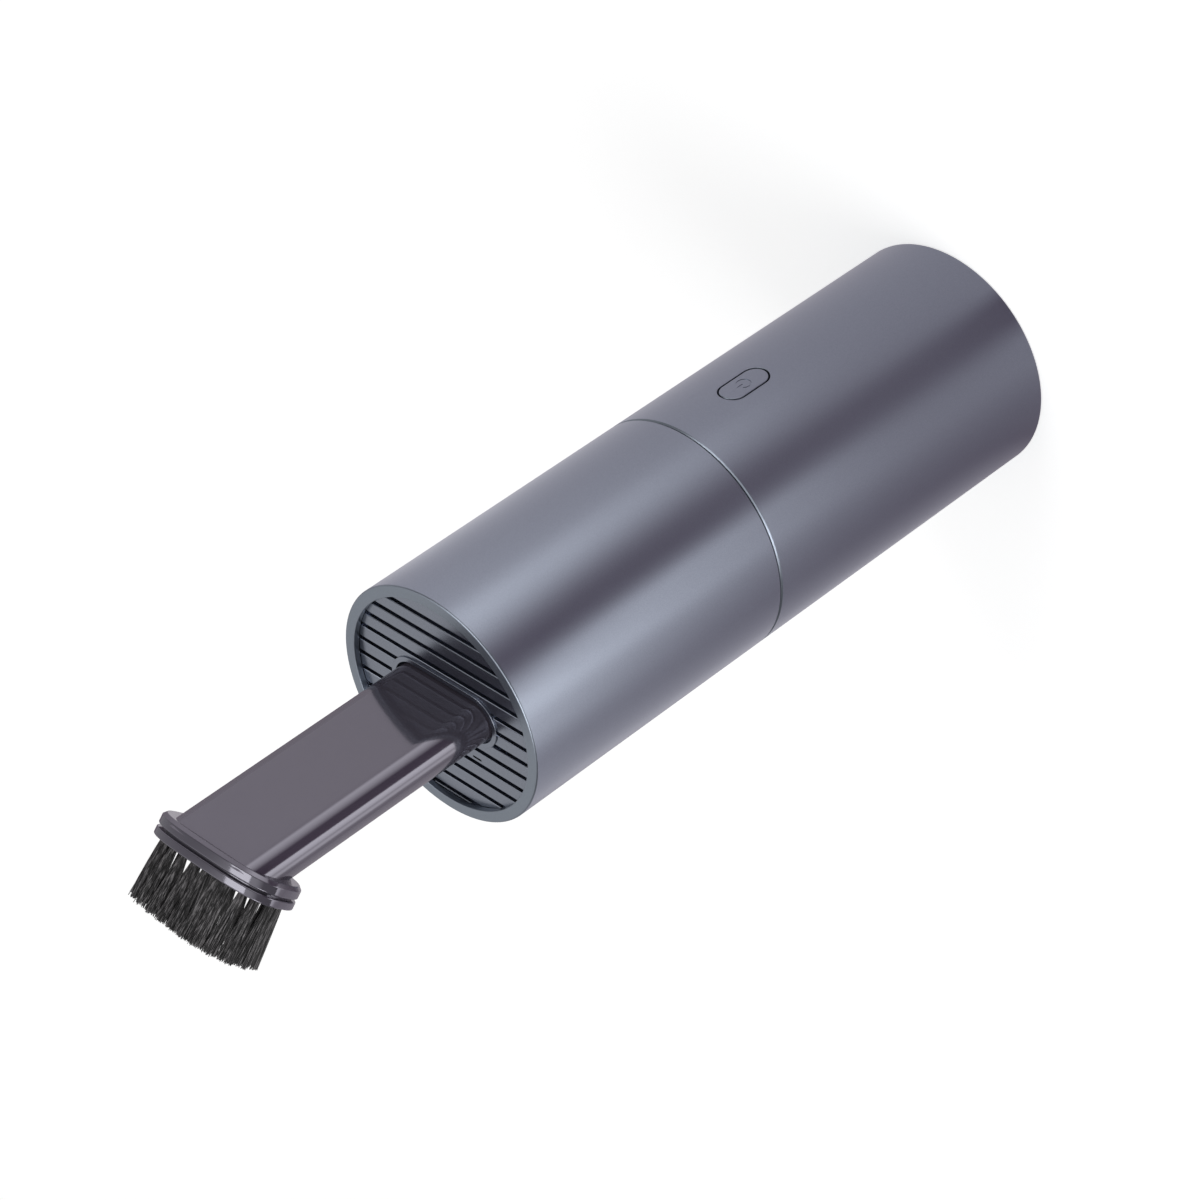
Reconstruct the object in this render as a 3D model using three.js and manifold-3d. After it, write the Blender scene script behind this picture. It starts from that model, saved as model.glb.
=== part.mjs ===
// Handheld vacuum cleaner: a plain round body in two halves, with a flat nozzle and a slanted brush in front.
// Millimetres, +Z up. The body stands on its flat rear end at z = 0 and the nozzle points up.
// +X runs along the nozzle's long side, and +Y towards the side that holds the power button.

import * as THREE from 'three';
import Module from 'manifold-3d';
import { mergeVertices } from 'three/addons/utils/BufferGeometryUtils.js';

const wasm = await Module();
wasm.setup();

// Body shells
const bodyRadius = 33;
const shellWall = 2.2;
const seamFromFront = 87.2;
const seamGap = 0.4;
const seamChamfer = 0.4;
const edgeChamfer = 0.5;
const rimWidth = 3.25;
const rimHeight = 1.6;

// Clearances
const slidingGap = 0.3;
const seatGap = 0.15;
const shaftGap = 0.15;
const overrun = 5;

// Power button, at the side of the motor body
const buttonFromSeam = 25.2;
const buttonLength = 15.5;
const buttonWidth = 7.3;
const buttonGap = 0.35;
const buttonFlangeWidth = 1.5;
const buttonFlangeThickness = 1;
const buttonTravel = 0.6;
const buttonIdleGap = 0.2;
const rearTurn = THREE.MathUtils.degToRad(2.8);

// Front grille, collar and nozzle socket
const grilleThickness = 4.4;
const slotPitch = 4.75;
const slotWidth = 1.25;
const slotDepth = 3;
const slotMargin = 0.6;
const inletGapLength = 0.55;
const inletGapWidth = 0.77;
const collarWall = 1.4;
const collarRise = 0.4;
const socketDepth = 16.8;
const dashLength = 3;
const dashWidth = 0.6;
const dashDepth = 0.8;
const dashX = 10.1;
const dashY = -12.4;

// Nozzle
const nozzleHalfLength = 16.05;
const nozzleHalfWidth = 5.63;
const nozzleWall = 1.47;
const nozzleReach = 68.6;
const sealHeight = 2.5;
const sealGrooveDepth = 0.45;
const sealFromEnd = 4;

// Slanted flange and brush head
const headTilt = THREE.MathUtils.degToRad(47);
const headHalfLength = 20.1;
const headHalfWidth = 10.1;
const headOffset = 1;
const flangeThickness = 2.2;
const flangeShoulder = 0.9;
const flangeShoulderWidth = 0.8;
const flangeSocketDepth = 1.5;
const headGroove = 0.7;
const headGrooveDepth = 1.4;
const brushRingThickness = 2.1;
const headRim = 1;
const mouthWall = 1.2;
const headSpigotWall = 2.7;

// Bristles
const backingWidth = 3.4;
const backingThickness = 1.4;
const bristleLength = 16.2;
const bristleRaggedness = 0.45;
const bristleRadius = 0.19;
const bristleTipRadius = 0.13;
const tuftRadius = 1.2;
const tuftTipRadius = 1.9;
const bristleSplay = 1.6;
const tuftsPerRow = 7;
const tuftsPerEnd = 4;
const bristlesPerTuft = 14;
const bristleSides = 3;

// Inlet duct and flap, inside the dust cup
const ductLength = 5.7;
const ductWall = 3.2;
const flapThickness = 1.8;
const flapMargin = 1.4;
const flapPinRadius = 0.8;
const flapPinOffset = 3.2;
const flapKnuckleWall = 0.8;
const flapEarWidth = 2;
const flapEarInset = 2;
const flapSpringWall = 0.45;
const flapSpringLength = 4;

// Fan shroud, which is also the spigot that the dust cup fits over
const shroudFoot = 2.3;
const spigotLength = 9.2;
const spigotWall = 2.2;
const shroudTop = 2.5;
const eyeRadius = 11;
const seatRingHeight = 4;
const seatRingWall = 2;
const cupSealHeight = 2.4;
const cupSealDepth = 1;
const cupSealFromTop = 2.6;

// Filter
const filterAirGap = 5.3;
const filterHeight = 23;
const filterSealHeight = 1.6;
const filterSealWidth = 5;
const filterBaseHeight = 3;
const filterRibCount = 6;
const filterRibWidth = 2;
const filterRibDepth = 1.6;
const filterRingHeight = 1.6;
const filterCapHeight = 2.2;
const pleatCount = 30;
const pleatDepth = 4.3;
const pleatBand = 1.2;

// Fan and motor
const impellerRadius = 22;
const impellerPlate = 1.2;
const fanGap = 0.8;
const bladeCount = 7;
const bladeThickness = 0.8;
const bladeSweep = 0.9;
const bladeSteps = 4;
const hubRadius = 5;
const shaftRadius = 1.5;
const motorRadius = 17.5;
const motorLength = 17;
const motorWall = 1;
const motorPlateThickness = 2.5;
const motorBossRadius = 6;
const endPlateThickness = 1.5;
const statorWidth = 5;
const windingSlotCount = 6;
const windingSlotRadius = 1.2;
const airGap = 0.6;
const ventCount = 8;
const ventLength = 9;
const ventWidth = 3.4;
const motorScrewCircle = 12;
const screwCount = 3;

// Screws
const screwHeadSink = 0.5;
const screwRadius = 1.2;
const screwHeadRadius = 2.3;
const screwHeadHeight = 1.3;
const screwLength = 13;
const screwDrive = 0.7;
const motorScrewLength = 4;

// Battery
const cellRadius = 9.25;
const cellLength = 65;
const cellCount = 3;
const cellSpacing = 0.4;
const cellPocketDepth = 2;
const cellTerminalRadius = 3;
const cellTerminalHeight = 0.8;
const holderPlate = 4;
const holderPostRadius = 2.6;
const airwayCount = 6;
const airwayRadius = 6;
const cushionThickness = 1.9;
const cushionWidth = 9;

// Boards and switch
const boardThickness = 1.4;
const boardHalfWidth = 12;
const boardLength = 44;
const chipSize = 6;
const chipHeight = 1.2;
const capacitorRadius = 2;
const capacitorHeight = 2.5;
const switchSize = 6;
const switchHeight = 3.5;
const plungerRadius = 1.7;
const plungerHeight = 0.5;

// Rear cap, exhaust and charging socket
const capThickness = 3;
const capSkirt = 4;
const capSkirtWall = 1.5;
const exhaustCount = 12;
const exhaustInner = 12.4;
const exhaustOuter = 22.4;
const exhaustWidth = 2;
const foamThickness = 4.2;
const foamMargin = 0.8;
const bossRadius = 3.2;
const socketHalfLength = 4.47;
const socketHalfWidth = 1.6;
const socketWall = 0.35;
const socketLength = 7.2;
const socketRecess = 0.3;
const tongueHalfLength = 3.3;
const tongueHalfWidth = 0.35;
const chargeBoardHalfLength = 10;
const chargeBoardHalfWidth = 7;
const boardPostRadius = 1.4;
const boardPostInset = 1.8;

// How finely round things are cut
const bodySides = 48;
const drumSides = 24;
const smallSides = 8;
const arcSteps = 6;
const slotSteps = 3;
const ovalSteps = 32;
const ovalPower = 3;
const goldenAngle = Math.PI * (3 - Math.sqrt(5));

// Places that follow from the sizes above: the rear end
const shellBore = bodyRadius - shellWall;
const liner = shellBore - slidingGap;
const screwRecess = screwHeadSink + screwHeadHeight;
const foamBottom = capThickness + seatGap;
const foamTop = foamBottom + foamThickness;
const chargeBoardBottom = socketRecess + socketLength + seatGap;
const chargeBoardTop = chargeBoardBottom + boardThickness;

// Battery, from the boards up to the motor
const holderBottom = chargeBoardTop + seatGap;
const cellBottom = holderBottom + holderPlate - cellPocketDepth + seatGap;
const cellTop = cellBottom + cellLength;
const upperPlateBottom = cellTop + seatGap - cellPocketDepth;
const holderTop = upperPlateBottom + holderPlate;
const cellCircle = (2 * cellRadius + cellSpacing) / Math.sqrt(3);

// Button, switch and control board, from the shell in to the battery's posts
const buttonRimHalfWidth = buttonWidth / 2 + buttonFlangeWidth;
const buttonFlangeFace = Math.sqrt(shellBore ** 2 - buttonRimHalfWidth ** 2) - slidingGap;
const buttonFoot = buttonFlangeFace - buttonFlangeThickness;
const switchFace = buttonFoot - buttonTravel - buttonIdleGap - plungerHeight;
const boardFace = switchFace - switchHeight - seatGap;
const boardUnderside = boardFace - boardThickness;
const holderPostCircle = boardUnderside - seatGap - holderPostRadius;

// Motor and fan, and where the shells meet
const cushionBottom = holderTop + seatGap;
const motorBottom = cushionBottom + cushionThickness + seatGap;
const motorTop = motorBottom + motorLength;
const plateBottom = motorTop + seatGap;
const plateTop = plateBottom + motorPlateThickness;
const shroudBottom = plateTop + seatGap;
const seamZ = shroudBottom + shroudFoot;
const buttonZ = seamZ - buttonFromSeam;
const shroudZ = seamZ + spigotLength;
const spigotRadius = shellBore - 2 * slidingGap;
const impellerBottom = plateTop + fanGap;
const impellerTop = shroudZ - shroudTop - fanGap;

// Filter
const filterOuterRadius = shellBore - filterAirGap;
const seatRingRadius = eyeRadius + seatRingWall;
const filterSealBottom = shroudZ + seatGap;
const filterBottom = filterSealBottom + filterSealHeight + seatGap;
const cageBottom = filterBottom + filterBaseHeight;
const cageTop = cageBottom + filterHeight;
const filterInner = seatRingRadius + slidingGap;
const pleatOuter = filterOuterRadius - filterRibDepth - slidingGap;

// Front end of the dust cup
const bodyLength = seamZ + seamFromFront;
const inletHalfLength = nozzleHalfLength + inletGapLength;
const inletHalfWidth = nozzleHalfWidth + inletGapWidth;
const grilleTop = bodyLength - rimHeight - seatGap;
const grilleBottom = grilleTop - grilleThickness;
const collarHalfLength = inletHalfLength + collarWall;
const collarHalfWidth = inletHalfWidth + collarWall;
const collarTop = grilleTop + collarRise;
const socketBottom = collarTop - socketDepth;
const ductTop = socketBottom - seatGap;
const ductBottom = ductTop - ductLength;
const flapTop = ductBottom - slidingGap;
const flapPinY = collarHalfWidth + flapPinOffset;
const flapPinZ = flapTop - flapThickness / 2;

// Nozzle and brush head
const nozzleBottom = ductTop + seatGap;
const boreHalfLength = nozzleHalfLength - nozzleWall;
const boreHalfWidth = nozzleHalfWidth - nozzleWall;
const headZ = bodyLength + nozzleReach;
const brushRingBottom = flangeThickness + headGroove;
const brushRingTop = brushRingBottom + brushRingThickness;
const channelDepth = backingThickness + seatGap;
const channelWidth = backingWidth + 2 * seatGap;
const channelOuterLength = headHalfLength - headRim;
const channelOuterWidth = headHalfWidth - headRim;
const mouthHalfLength = channelOuterLength - channelWidth - mouthWall;
const mouthHalfWidth = channelOuterWidth - channelWidth - mouthWall;
const spigotHalfLength = mouthHalfLength + headSpigotWall;
const spigotHalfWidth = mouthHalfWidth + headSpigotWall;

// One extruded shape between two heights.
function prism(shape, low, high, curveSegments = arcSteps) {
  const settings = { depth: high - low, bevelEnabled: false, curveSegments };
  return new THREE.ExtrudeGeometry(shape, settings).translate(0, 0, low);
}

// The same, with its length along Y and the shape's second direction along Z.
function sidePrism(shape, near, far) {
  return prism(shape, -far, -near).rotateX(Math.PI / 2);
}

// A block from its middle and its sizes.
function block(x, y, z, sizeX, sizeY, sizeZ) {
  return new THREE.BoxGeometry(sizeX, sizeY, sizeZ).translate(x, y, z);
}

// An upright round bar on the axis, and one at each of the given places.
function bar(radius, low, high, sides = smallSides) {
  const geometry = new THREE.CylinderGeometry(radius, radius, high - low, sides);
  return geometry.rotateX(Math.PI / 2).translate(0, 0, (low + high) / 2);
}

function bars(places, radius, low, high, sides = smallSides) {
  return places.map(([x, y]) => bar(radius, low, high, sides).translate(x, y, 0));
}

// A turned piece from a closed outline of [radius, height] points.
function turned(outline, sides = bodySides) {
  const points = [...outline, outline[0]].map(([radius, height]) => new THREE.Vector2(radius, height));
  return new THREE.LatheGeometry(points, sides).rotateX(Math.PI / 2);
}

function pipe(inner, outer, low, high, sides = bodySides) {
  return turned([[inner, low], [outer, low], [outer, high], [inner, high]], sides);
}

// A flat-sided outline with full round ends.
function obround(halfLength, halfWidth) {
  const arm = halfLength - halfWidth;
  const shape = new THREE.Shape();
  shape.absarc(arm, 0, halfWidth, -Math.PI / 2, Math.PI / 2, false);
  shape.absarc(-arm, 0, halfWidth, Math.PI / 2, 1.5 * Math.PI, false);
  shape.closePath();
  return shape;
}

// The same outline, with its length along the shape's second direction.
function uprightObround(halfLength, halfWidth) {
  const arm = halfLength - halfWidth;
  const shape = new THREE.Shape();
  shape.absarc(0, arm, halfWidth, 0, Math.PI, false);
  shape.absarc(0, -arm, halfWidth, Math.PI, 2 * Math.PI, false);
  shape.closePath();
  return shape;
}

// A point on the brush head's oval, which is a little squarer than an ellipse.
function ovalPoint(halfLength, halfWidth, angle) {
  const squared = (value) => Math.sign(value) * Math.abs(value) ** (2 / ovalPower);
  const x = halfLength * squared(Math.cos(angle));
  return new THREE.Vector2(x, halfWidth * squared(Math.sin(angle)) - headOffset);
}

function oval(halfLength, halfWidth) {
  const angles = Array.from({ length: ovalSteps }, (_, step) => (2 * Math.PI * step) / ovalSteps);
  return new THREE.Shape(angles.map((angle) => ovalPoint(halfLength, halfWidth, angle)));
}

// A three.js geometry as a closed solid, with its faces pointing out.
function solid(geometry) {
  geometry.deleteAttribute('normal');
  geometry.deleteAttribute('uv');
  const merged = mergeVertices(geometry);
  const corners = merged.index.array;
  const places = merged.attributes.position;
  const faces = [];
  const [a, b, c] = [new THREE.Vector3(), new THREE.Vector3(), new THREE.Vector3()];
  let volume = 0;
  for (let i = 0; i < corners.length; i += 3) {
    const [p, q, r] = corners.slice(i, i + 3);
    if (p === q || q === r || r === p) continue;
    faces.push([p, q, r]);
    a.fromBufferAttribute(places, p);
    b.fromBufferAttribute(places, q);
    c.fromBufferAttribute(places, r);
    volume += a.dot(b.cross(c));
  }
  const outward = volume < 0 ? faces.map(([p, q, r]) => [p, r, q]) : faces;
  const mesh = new wasm.Mesh({
    numProp: 3,
    vertProperties: new Float32Array(places.array),
    triVerts: new Uint32Array(outward.flat()),
  });
  return new wasm.Manifold(mesh);
}

// The first piece with the second ones joined to it or cut out of it.
function join(first, ...others) {
  return others.reduce((sum, geometry) => sum.add(asSolid(geometry)), asSolid(first));
}

function cut(first, ...others) {
  return others.reduce((rest, geometry) => rest.subtract(asSolid(geometry)), asSolid(first));
}

function asSolid(piece) {
  return piece.isBufferGeometry ? solid(piece) : piece;
}

// Copies of a piece in a ring about the Z axis.
function around(count, make, turn = 0) {
  return Array.from({ length: count }, (_, i) => make().rotateZ(turn + (2 * Math.PI * i) / count));
}

// The rear half is turned a little about the axis, which puts the button beside the nozzle's flat side.
const vacuum = new THREE.Group();
const rear = new THREE.Group();
rear.rotation.z = rearTurn;
vacuum.add(rear);
const head = new THREE.Group();
head.position.z = headZ;
head.rotation.x = headTilt;
vacuum.add(head);

function add(name, piece, finish, group = vacuum) {
  const { vertProperties, triVerts } = asSolid(piece).getMesh();
  const geometry = new THREE.BufferGeometry();
  geometry.setAttribute('position', new THREE.BufferAttribute(vertProperties, 3));
  geometry.setIndex(new THREE.BufferAttribute(triVerts, 1));
  geometry.computeVertexNormals();
  const mesh = new THREE.Mesh(geometry, finish);
  mesh.name = name;
  group.add(mesh);
}

function finish(color, roughness, metalness) {
  return new THREE.MeshStandardMaterial({ color, roughness, metalness });
}

const slatePaint = finish(0x8e92a4, 0.38, 0.75);
const grillePaint = finish(0x767a86, 0.5, 0.5);
const glossCharcoal = finish(0x3a3740, 0.15, 0);
const blackPlastic = finish(0x1d1d20, 0.5, 0);
const greyPlastic = finish(0x6d6f74, 0.55, 0);
const blackBristle = finish(0x2a292b, 0.6, 0);
const blackRubber = finish(0x161617, 0.8, 0);
const steel = finish(0xb4b6ba, 0.3, 1);
const copper = finish(0xb06a3c, 0.4, 1);
const cellWrap = finish(0x2e5c8f, 0.45, 0);
const boardGreen = finish(0x1f5a3a, 0.5, 0);
const filterPaper = finish(0xe9e7df, 0.9, 0);
const foamGrey = finish(0x3d3f42, 0.95, 0);

// Motor body shell and the button in its side

function mainShell() {
  const top = seamZ - seamGap / 2;
  const tube = turned([
    [shellBore, 0],
    [bodyRadius - edgeChamfer, 0],
    [bodyRadius, edgeChamfer],
    [bodyRadius, top - seamChamfer],
    [bodyRadius - seamChamfer, top],
    [shellBore, top],
  ]);
  const hole = uprightObround(buttonLength / 2 + buttonGap, buttonWidth / 2 + buttonGap);
  return cut(tube, sidePrism(hole, 0, bodyRadius + overrun).translate(0, 0, buttonZ));
}
add('main_shell', mainShell(), slatePaint, rear);

function powerButton() {
  const cap = uprightObround(buttonLength / 2, buttonWidth / 2);
  const rim = uprightObround(buttonLength / 2 + buttonFlangeWidth, buttonRimHalfWidth);
  const stem = sidePrism(cap, buttonFoot, bodyRadius + overrun).translate(0, 0, buttonZ);
  const flange = sidePrism(rim, buttonFoot, buttonFlangeFace).translate(0, 0, buttonZ);
  return join(stem, flange).intersect(solid(bar(bodyRadius, 0, seamZ, bodySides)));
}
add('power_button', powerButton(), slatePaint, rear);

// Rear cap with its exhaust slots, screws and foam

function ringPlaces(count, circle, turn) {
  return Array.from({ length: count }, (_, i) => {
    const angle = turn + (2 * Math.PI * i) / count;
    return [circle * Math.cos(angle), circle * Math.sin(angle)];
  });
}

const postPlaces = ringPlaces(screwCount, holderPostCircle, Math.PI / 2);
const boardPostPlaces = [[1, 1], [-1, 1], [1, -1], [-1, -1]].map(([right, up]) => (
  [right * (chargeBoardHalfLength - boardPostInset), up * (chargeBoardHalfWidth - boardPostInset)]
));

function rearCap() {
  const disc = bar(liner, 0, capThickness, bodySides);
  const skirt = pipe(liner - capSkirtWall, liner, 0, capThickness + capSkirt);
  const bosses = bars(postPlaces, bossRadius, 0, holderBottom - seatGap);
  const boardPosts = bars(boardPostPlaces, boardPostRadius, 0, chargeBoardBottom - seatGap);
  const windowShape = obround(socketHalfLength + slidingGap, socketHalfWidth + slidingGap);
  const window = prism(windowShape, -overrun, foamTop, slotSteps);
  const slotShape = obround((exhaustOuter - exhaustInner) / 2, exhaustWidth / 2);
  const slotMiddle = (exhaustInner + exhaustOuter) / 2;
  const slot = () => prism(slotShape, -overrun, foamTop, slotSteps).translate(slotMiddle, 0, 0);
  const slots = around(exhaustCount, slot, Math.PI / 2).filter((_, i) => i % (exhaustCount / screwCount));
  const screwHoles = bars(postPlaces, screwRadius + slidingGap, -overrun, holderTop);
  const headHoles = bars(postPlaces, screwHeadRadius + slidingGap, -overrun, screwRecess);
  return cut(join(disc, skirt, ...bosses, ...boardPosts), window, ...slots, ...screwHoles, ...headHoles);
}
add('rear_cap', rearCap(), slatePaint, rear);

// A screw whose head rests at the given height, pointing up, or down where it is upside down.
function screw(length, [x, y], z, upsideDown = false) {
  const body = turned([
    [0, -screwHeadHeight],
    [screwHeadRadius, -screwHeadHeight],
    [screwHeadRadius, 0],
    [screwRadius, 0],
    [screwRadius, length],
    [0, length],
  ], smallSides);
  const drive = () => block(0, 0, -screwHeadHeight, 2 * screwRadius, screwDrive, screwHeadHeight);
  const place = (geometry) => geometry.rotateX(upsideDown ? Math.PI : 0).translate(x, y, z);
  return cut(place(body), place(drive()), place(drive().rotateZ(Math.PI / 2)));
}

postPlaces.forEach((place, i) => {
  add(`rear_cap_screw_${i + 1}`, screw(screwLength, place, screwRecess - seatGap), steel, rear);
});

function exhaustFoam() {
  const ring = pipe(exhaustInner - foamMargin, exhaustOuter + foamMargin, foamBottom, foamTop, drumSides);
  return cut(ring, ...bars(postPlaces, bossRadius + slidingGap, 0, holderBottom));
}
add('exhaust_foam', exhaustFoam(), foamGrey, rear);

// Charging socket and its board

function usbSocket() {
  const top = socketRecess + socketLength;
  const floor = top - 2 * socketWall;
  const shell = prism(obround(socketHalfLength, socketHalfWidth), socketRecess, top, slotSteps);
  const insideShape = obround(socketHalfLength - socketWall, socketHalfWidth - socketWall);
  const tongueShape = obround(tongueHalfLength, tongueHalfWidth);
  const tongue = prism(tongueShape, socketRecess + socketWall, floor + socketWall, slotSteps);
  return join(cut(shell, prism(insideShape, 0, floor, slotSteps)), tongue);
}
add('usb_socket', usbSocket(), steel, rear);

function chargeBoard() {
  const middle = (chargeBoardBottom + chargeBoardTop) / 2;
  const board = block(0, 0, middle, 2 * chargeBoardHalfLength, 2 * chargeBoardHalfWidth, boardThickness);
  return cut(board, ...bars(postPlaces, bossRadius + slidingGap, 0, holderBottom));
}
add('charge_board', chargeBoard(), boardGreen, rear);

// Battery: three cells in a holder of two plates and three posts

const cellPlaces = ringPlaces(cellCount, cellCircle, -Math.PI / 2);

function batteryHolder() {
  const plates = [holderBottom, upperPlateBottom].map((low) => bar(liner, low, low + holderPlate, drumSides));
  const posts = bars(postPlaces, holderPostRadius, holderBottom, holderTop);
  const pocketRadius = cellRadius + slidingGap;
  const pockets = bars(cellPlaces, pocketRadius, cellBottom - seatGap, cellTop + seatGap, drumSides);
  const wireHole = bar(cellCircle - cellRadius, 0, holderTop + overrun);
  const notchMiddle = boardUnderside - seatGap + bodyRadius;
  const boardNotch = block(0, notchMiddle, 0, 2 * bodyRadius, 2 * bodyRadius, bodyLength);
  const airway = () => bar(airwayRadius, 0, holderTop + overrun).translate(liner, 0, 0);
  const airways = around(airwayCount, airway, Math.PI / airwayCount).filter((_, i) => i !== 1);
  const screwHoles = bars(postPlaces, screwRadius + shaftGap, 0, screwRecess + screwLength + overrun);
  return cut(join(...plates, ...posts), ...pockets, wireHole, boardNotch, ...airways, ...screwHoles);
}
add('battery_holder', batteryHolder(), blackPlastic, rear);

function batteryCell() {
  const shoulder = cellTop - cellTerminalHeight;
  return turned([
    [0, cellBottom],
    [cellRadius, cellBottom],
    [cellRadius, shoulder],
    [cellTerminalRadius, shoulder],
    [cellTerminalRadius, cellTop],
    [0, cellTop],
  ], drumSides);
}
cellPlaces.forEach(([x, y], i) => {
  add(`battery_cell_${i + 1}`, batteryCell().translate(x, y, 0), cellWrap, rear);
});

// Control board and its switch, under the button

function controlBoard() {
  const middle = (boardUnderside + boardFace) / 2;
  const boardZ = buttonZ - boardLength / 2 + switchSize;
  const board = block(0, middle, boardZ, 2 * boardHalfWidth, boardThickness, boardLength);
  const chip = block(0, boardFace, buttonZ - 3 * switchSize, chipSize, 2 * chipHeight, chipSize);
  const capacitors = [-1, 1].map((side) => (
    bar(capacitorRadius, 0, boardFace - middle + capacitorHeight).rotateX(-Math.PI / 2)
      .translate(side * boardHalfWidth / 2, middle, buttonZ - 2 * switchSize)
  ));
  return join(board, chip, ...capacitors);
}
add('control_board', controlBoard(), boardGreen, rear);

function tactSwitch() {
  const base = boardFace + seatGap;
  const housing = block(0, (base + switchFace) / 2, buttonZ, switchSize, switchHeight, switchSize);
  const plunger = bar(plungerRadius, 0, switchHeight + plungerHeight).rotateX(-Math.PI / 2);
  return join(housing, plunger.translate(0, base, buttonZ));
}
add('tact_switch', tactSwitch(), blackPlastic, rear);

// Motor: rubber cushion, can, stator and end plate

function motorCushion() {
  const cushionTop = cushionBottom + cushionThickness;
  return pipe(motorRadius - cushionWidth, motorRadius, cushionBottom, cushionTop, drumSides);
}
add('motor_cushion', motorCushion(), blackRubber, rear);

function motorCan() {
  const shaftBore = shaftRadius + shaftGap;
  const floor = motorBottom + 2 * motorWall;
  return turned([
    [shaftBore, motorBottom],
    [motorRadius, motorBottom],
    [motorRadius, motorTop - endPlateThickness - seatGap],
    [motorRadius - motorWall, motorTop - endPlateThickness - seatGap],
    [motorRadius - motorWall, floor],
    [shaftBore, floor],
  ], drumSides);
}
add('motor_can', motorCan(), steel, rear);

const motorScrewPlaces = ringPlaces(screwCount, motorScrewCircle, Math.PI / 2);

function motorEndPlate() {
  const disc = pipe(shaftRadius + shaftGap, motorRadius, motorTop - endPlateThickness, motorTop, drumSides);
  return cut(disc, ...bars(motorScrewPlaces, screwRadius + shaftGap, 0, bodyLength));
}
add('motor_end_plate', motorEndPlate(), steel, rear);

const statorBottom = motorBottom + 2 * motorWall + seatGap;
const statorTop = motorTop - endPlateThickness - motorScrewLength;
const statorOuter = motorRadius - motorWall - seatGap;

function motorStator() {
  const ring = pipe(statorOuter - statorWidth, statorOuter, statorBottom, statorTop, drumSides);
  const slot = () => bar(windingSlotRadius, 0, bodyLength).translate(statorOuter - statorWidth, 0, 0);
  return cut(ring, ...around(windingSlotCount, slot));
}
add('motor_stator', motorStator(), copper, rear);

// Fan: rotor and impeller on one shaft

function motorRotor() {
  const outer = statorOuter - statorWidth - airGap;
  return pipe(shaftRadius + shaftGap, outer, statorBottom, statorTop, smallSides);
}
add('motor_rotor', motorRotor(), steel, rear);
add('motor_shaft', bar(shaftRadius, motorBottom + motorWall, impellerTop - impellerPlate), steel, rear);

function impellerBlade() {
  const side = (offset) => Array.from({ length: bladeSteps + 1 }, (_, step) => {
    const share = step / bladeSteps;
    const radius = hubRadius + (impellerRadius - hubRadius) * share;
    const angle = -bladeSweep * share + offset / radius;
    return new THREE.Vector2(radius * Math.cos(angle), radius * Math.sin(angle));
  });
  const outline = [...side(-bladeThickness / 2), ...side(bladeThickness / 2).reverse()];
  return prism(new THREE.Shape(outline), impellerBottom, impellerTop);
}

function impeller() {
  const plate = bar(impellerRadius, impellerBottom, impellerBottom + impellerPlate, drumSides);
  const hub = bar(hubRadius + bladeThickness, impellerBottom, impellerTop, drumSides);
  const bore = bar(shaftRadius + shaftGap, 0, impellerTop - impellerPlate + seatGap);
  return cut(join(plate, hub, ...around(bladeCount, impellerBlade)), bore);
}
add('impeller', impeller(), greyPlastic, rear);

// Motor plate, which carries the motor in the shell, and its screws

function motorPlate() {
  const disc = bar(liner, plateBottom, plateTop, drumSides);
  const shaftHole = bar(motorBossRadius, 0, bodyLength);
  const slot = () => prism(uprightObround(ventLength / 2, ventWidth / 2), 0, bodyLength, slotSteps)
    .translate(spigotRadius - spigotWall - ventWidth, 0, 0);
  const holes = bars(motorScrewPlaces, screwRadius + slidingGap, 0, bodyLength);
  const heads = bars(motorScrewPlaces, screwHeadRadius + slidingGap, plateTop - screwHeadHeight, bodyLength);
  return cut(disc, shaftHole, ...around(ventCount, slot), ...holes, ...heads);
}
add('motor_plate', motorPlate(), blackPlastic, rear);

motorScrewPlaces.forEach((place, i) => {
  const seat = plateTop - screwHeadHeight + seatGap;
  add(`motor_screw_${i + 1}`, screw(motorScrewLength, place, seat, true), steel, rear);
});

// Fan shroud: a lid with a round eye over the fan, and the spigot that the dust cup fits over

function fanShroud() {
  const inner = spigotRadius - spigotWall;
  const sealTop = shroudZ - cupSealFromTop;
  return turned([
    [inner, shroudBottom],
    [liner, shroudBottom],
    [liner, seamZ - seamGap],
    [spigotRadius, seamZ],
    [spigotRadius, sealTop - cupSealHeight],
    [spigotRadius - cupSealDepth, sealTop - cupSealHeight],
    [spigotRadius - cupSealDepth, sealTop],
    [spigotRadius, sealTop],
    [spigotRadius, shroudZ],
    [seatRingRadius, shroudZ],
    [seatRingRadius, shroudZ + seatRingHeight],
    [eyeRadius, shroudZ + seatRingHeight],
    [eyeRadius, shroudZ - shroudTop],
    [inner, shroudZ - shroudTop],
  ], drumSides);
}
add('fan_shroud', fanShroud(), blackPlastic, rear);

function cupSeal() {
  const top = shroudZ - cupSealFromTop - seatGap;
  const bottom = top - cupSealHeight + 2 * seatGap;
  return pipe(spigotRadius - cupSealDepth + 2 * seatGap, shellBore - seatGap, bottom, top, drumSides);
}
add('cup_seal', cupSeal(), blackRubber, rear);

// Filter: seal, cage, pleated paper and cap

function filterSeal() {
  const top = filterSealBottom + filterSealHeight;
  return pipe(filterInner, filterInner + filterSealWidth, filterSealBottom, top, drumSides);
}
add('filter_seal', filterSeal(), blackRubber);

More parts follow.
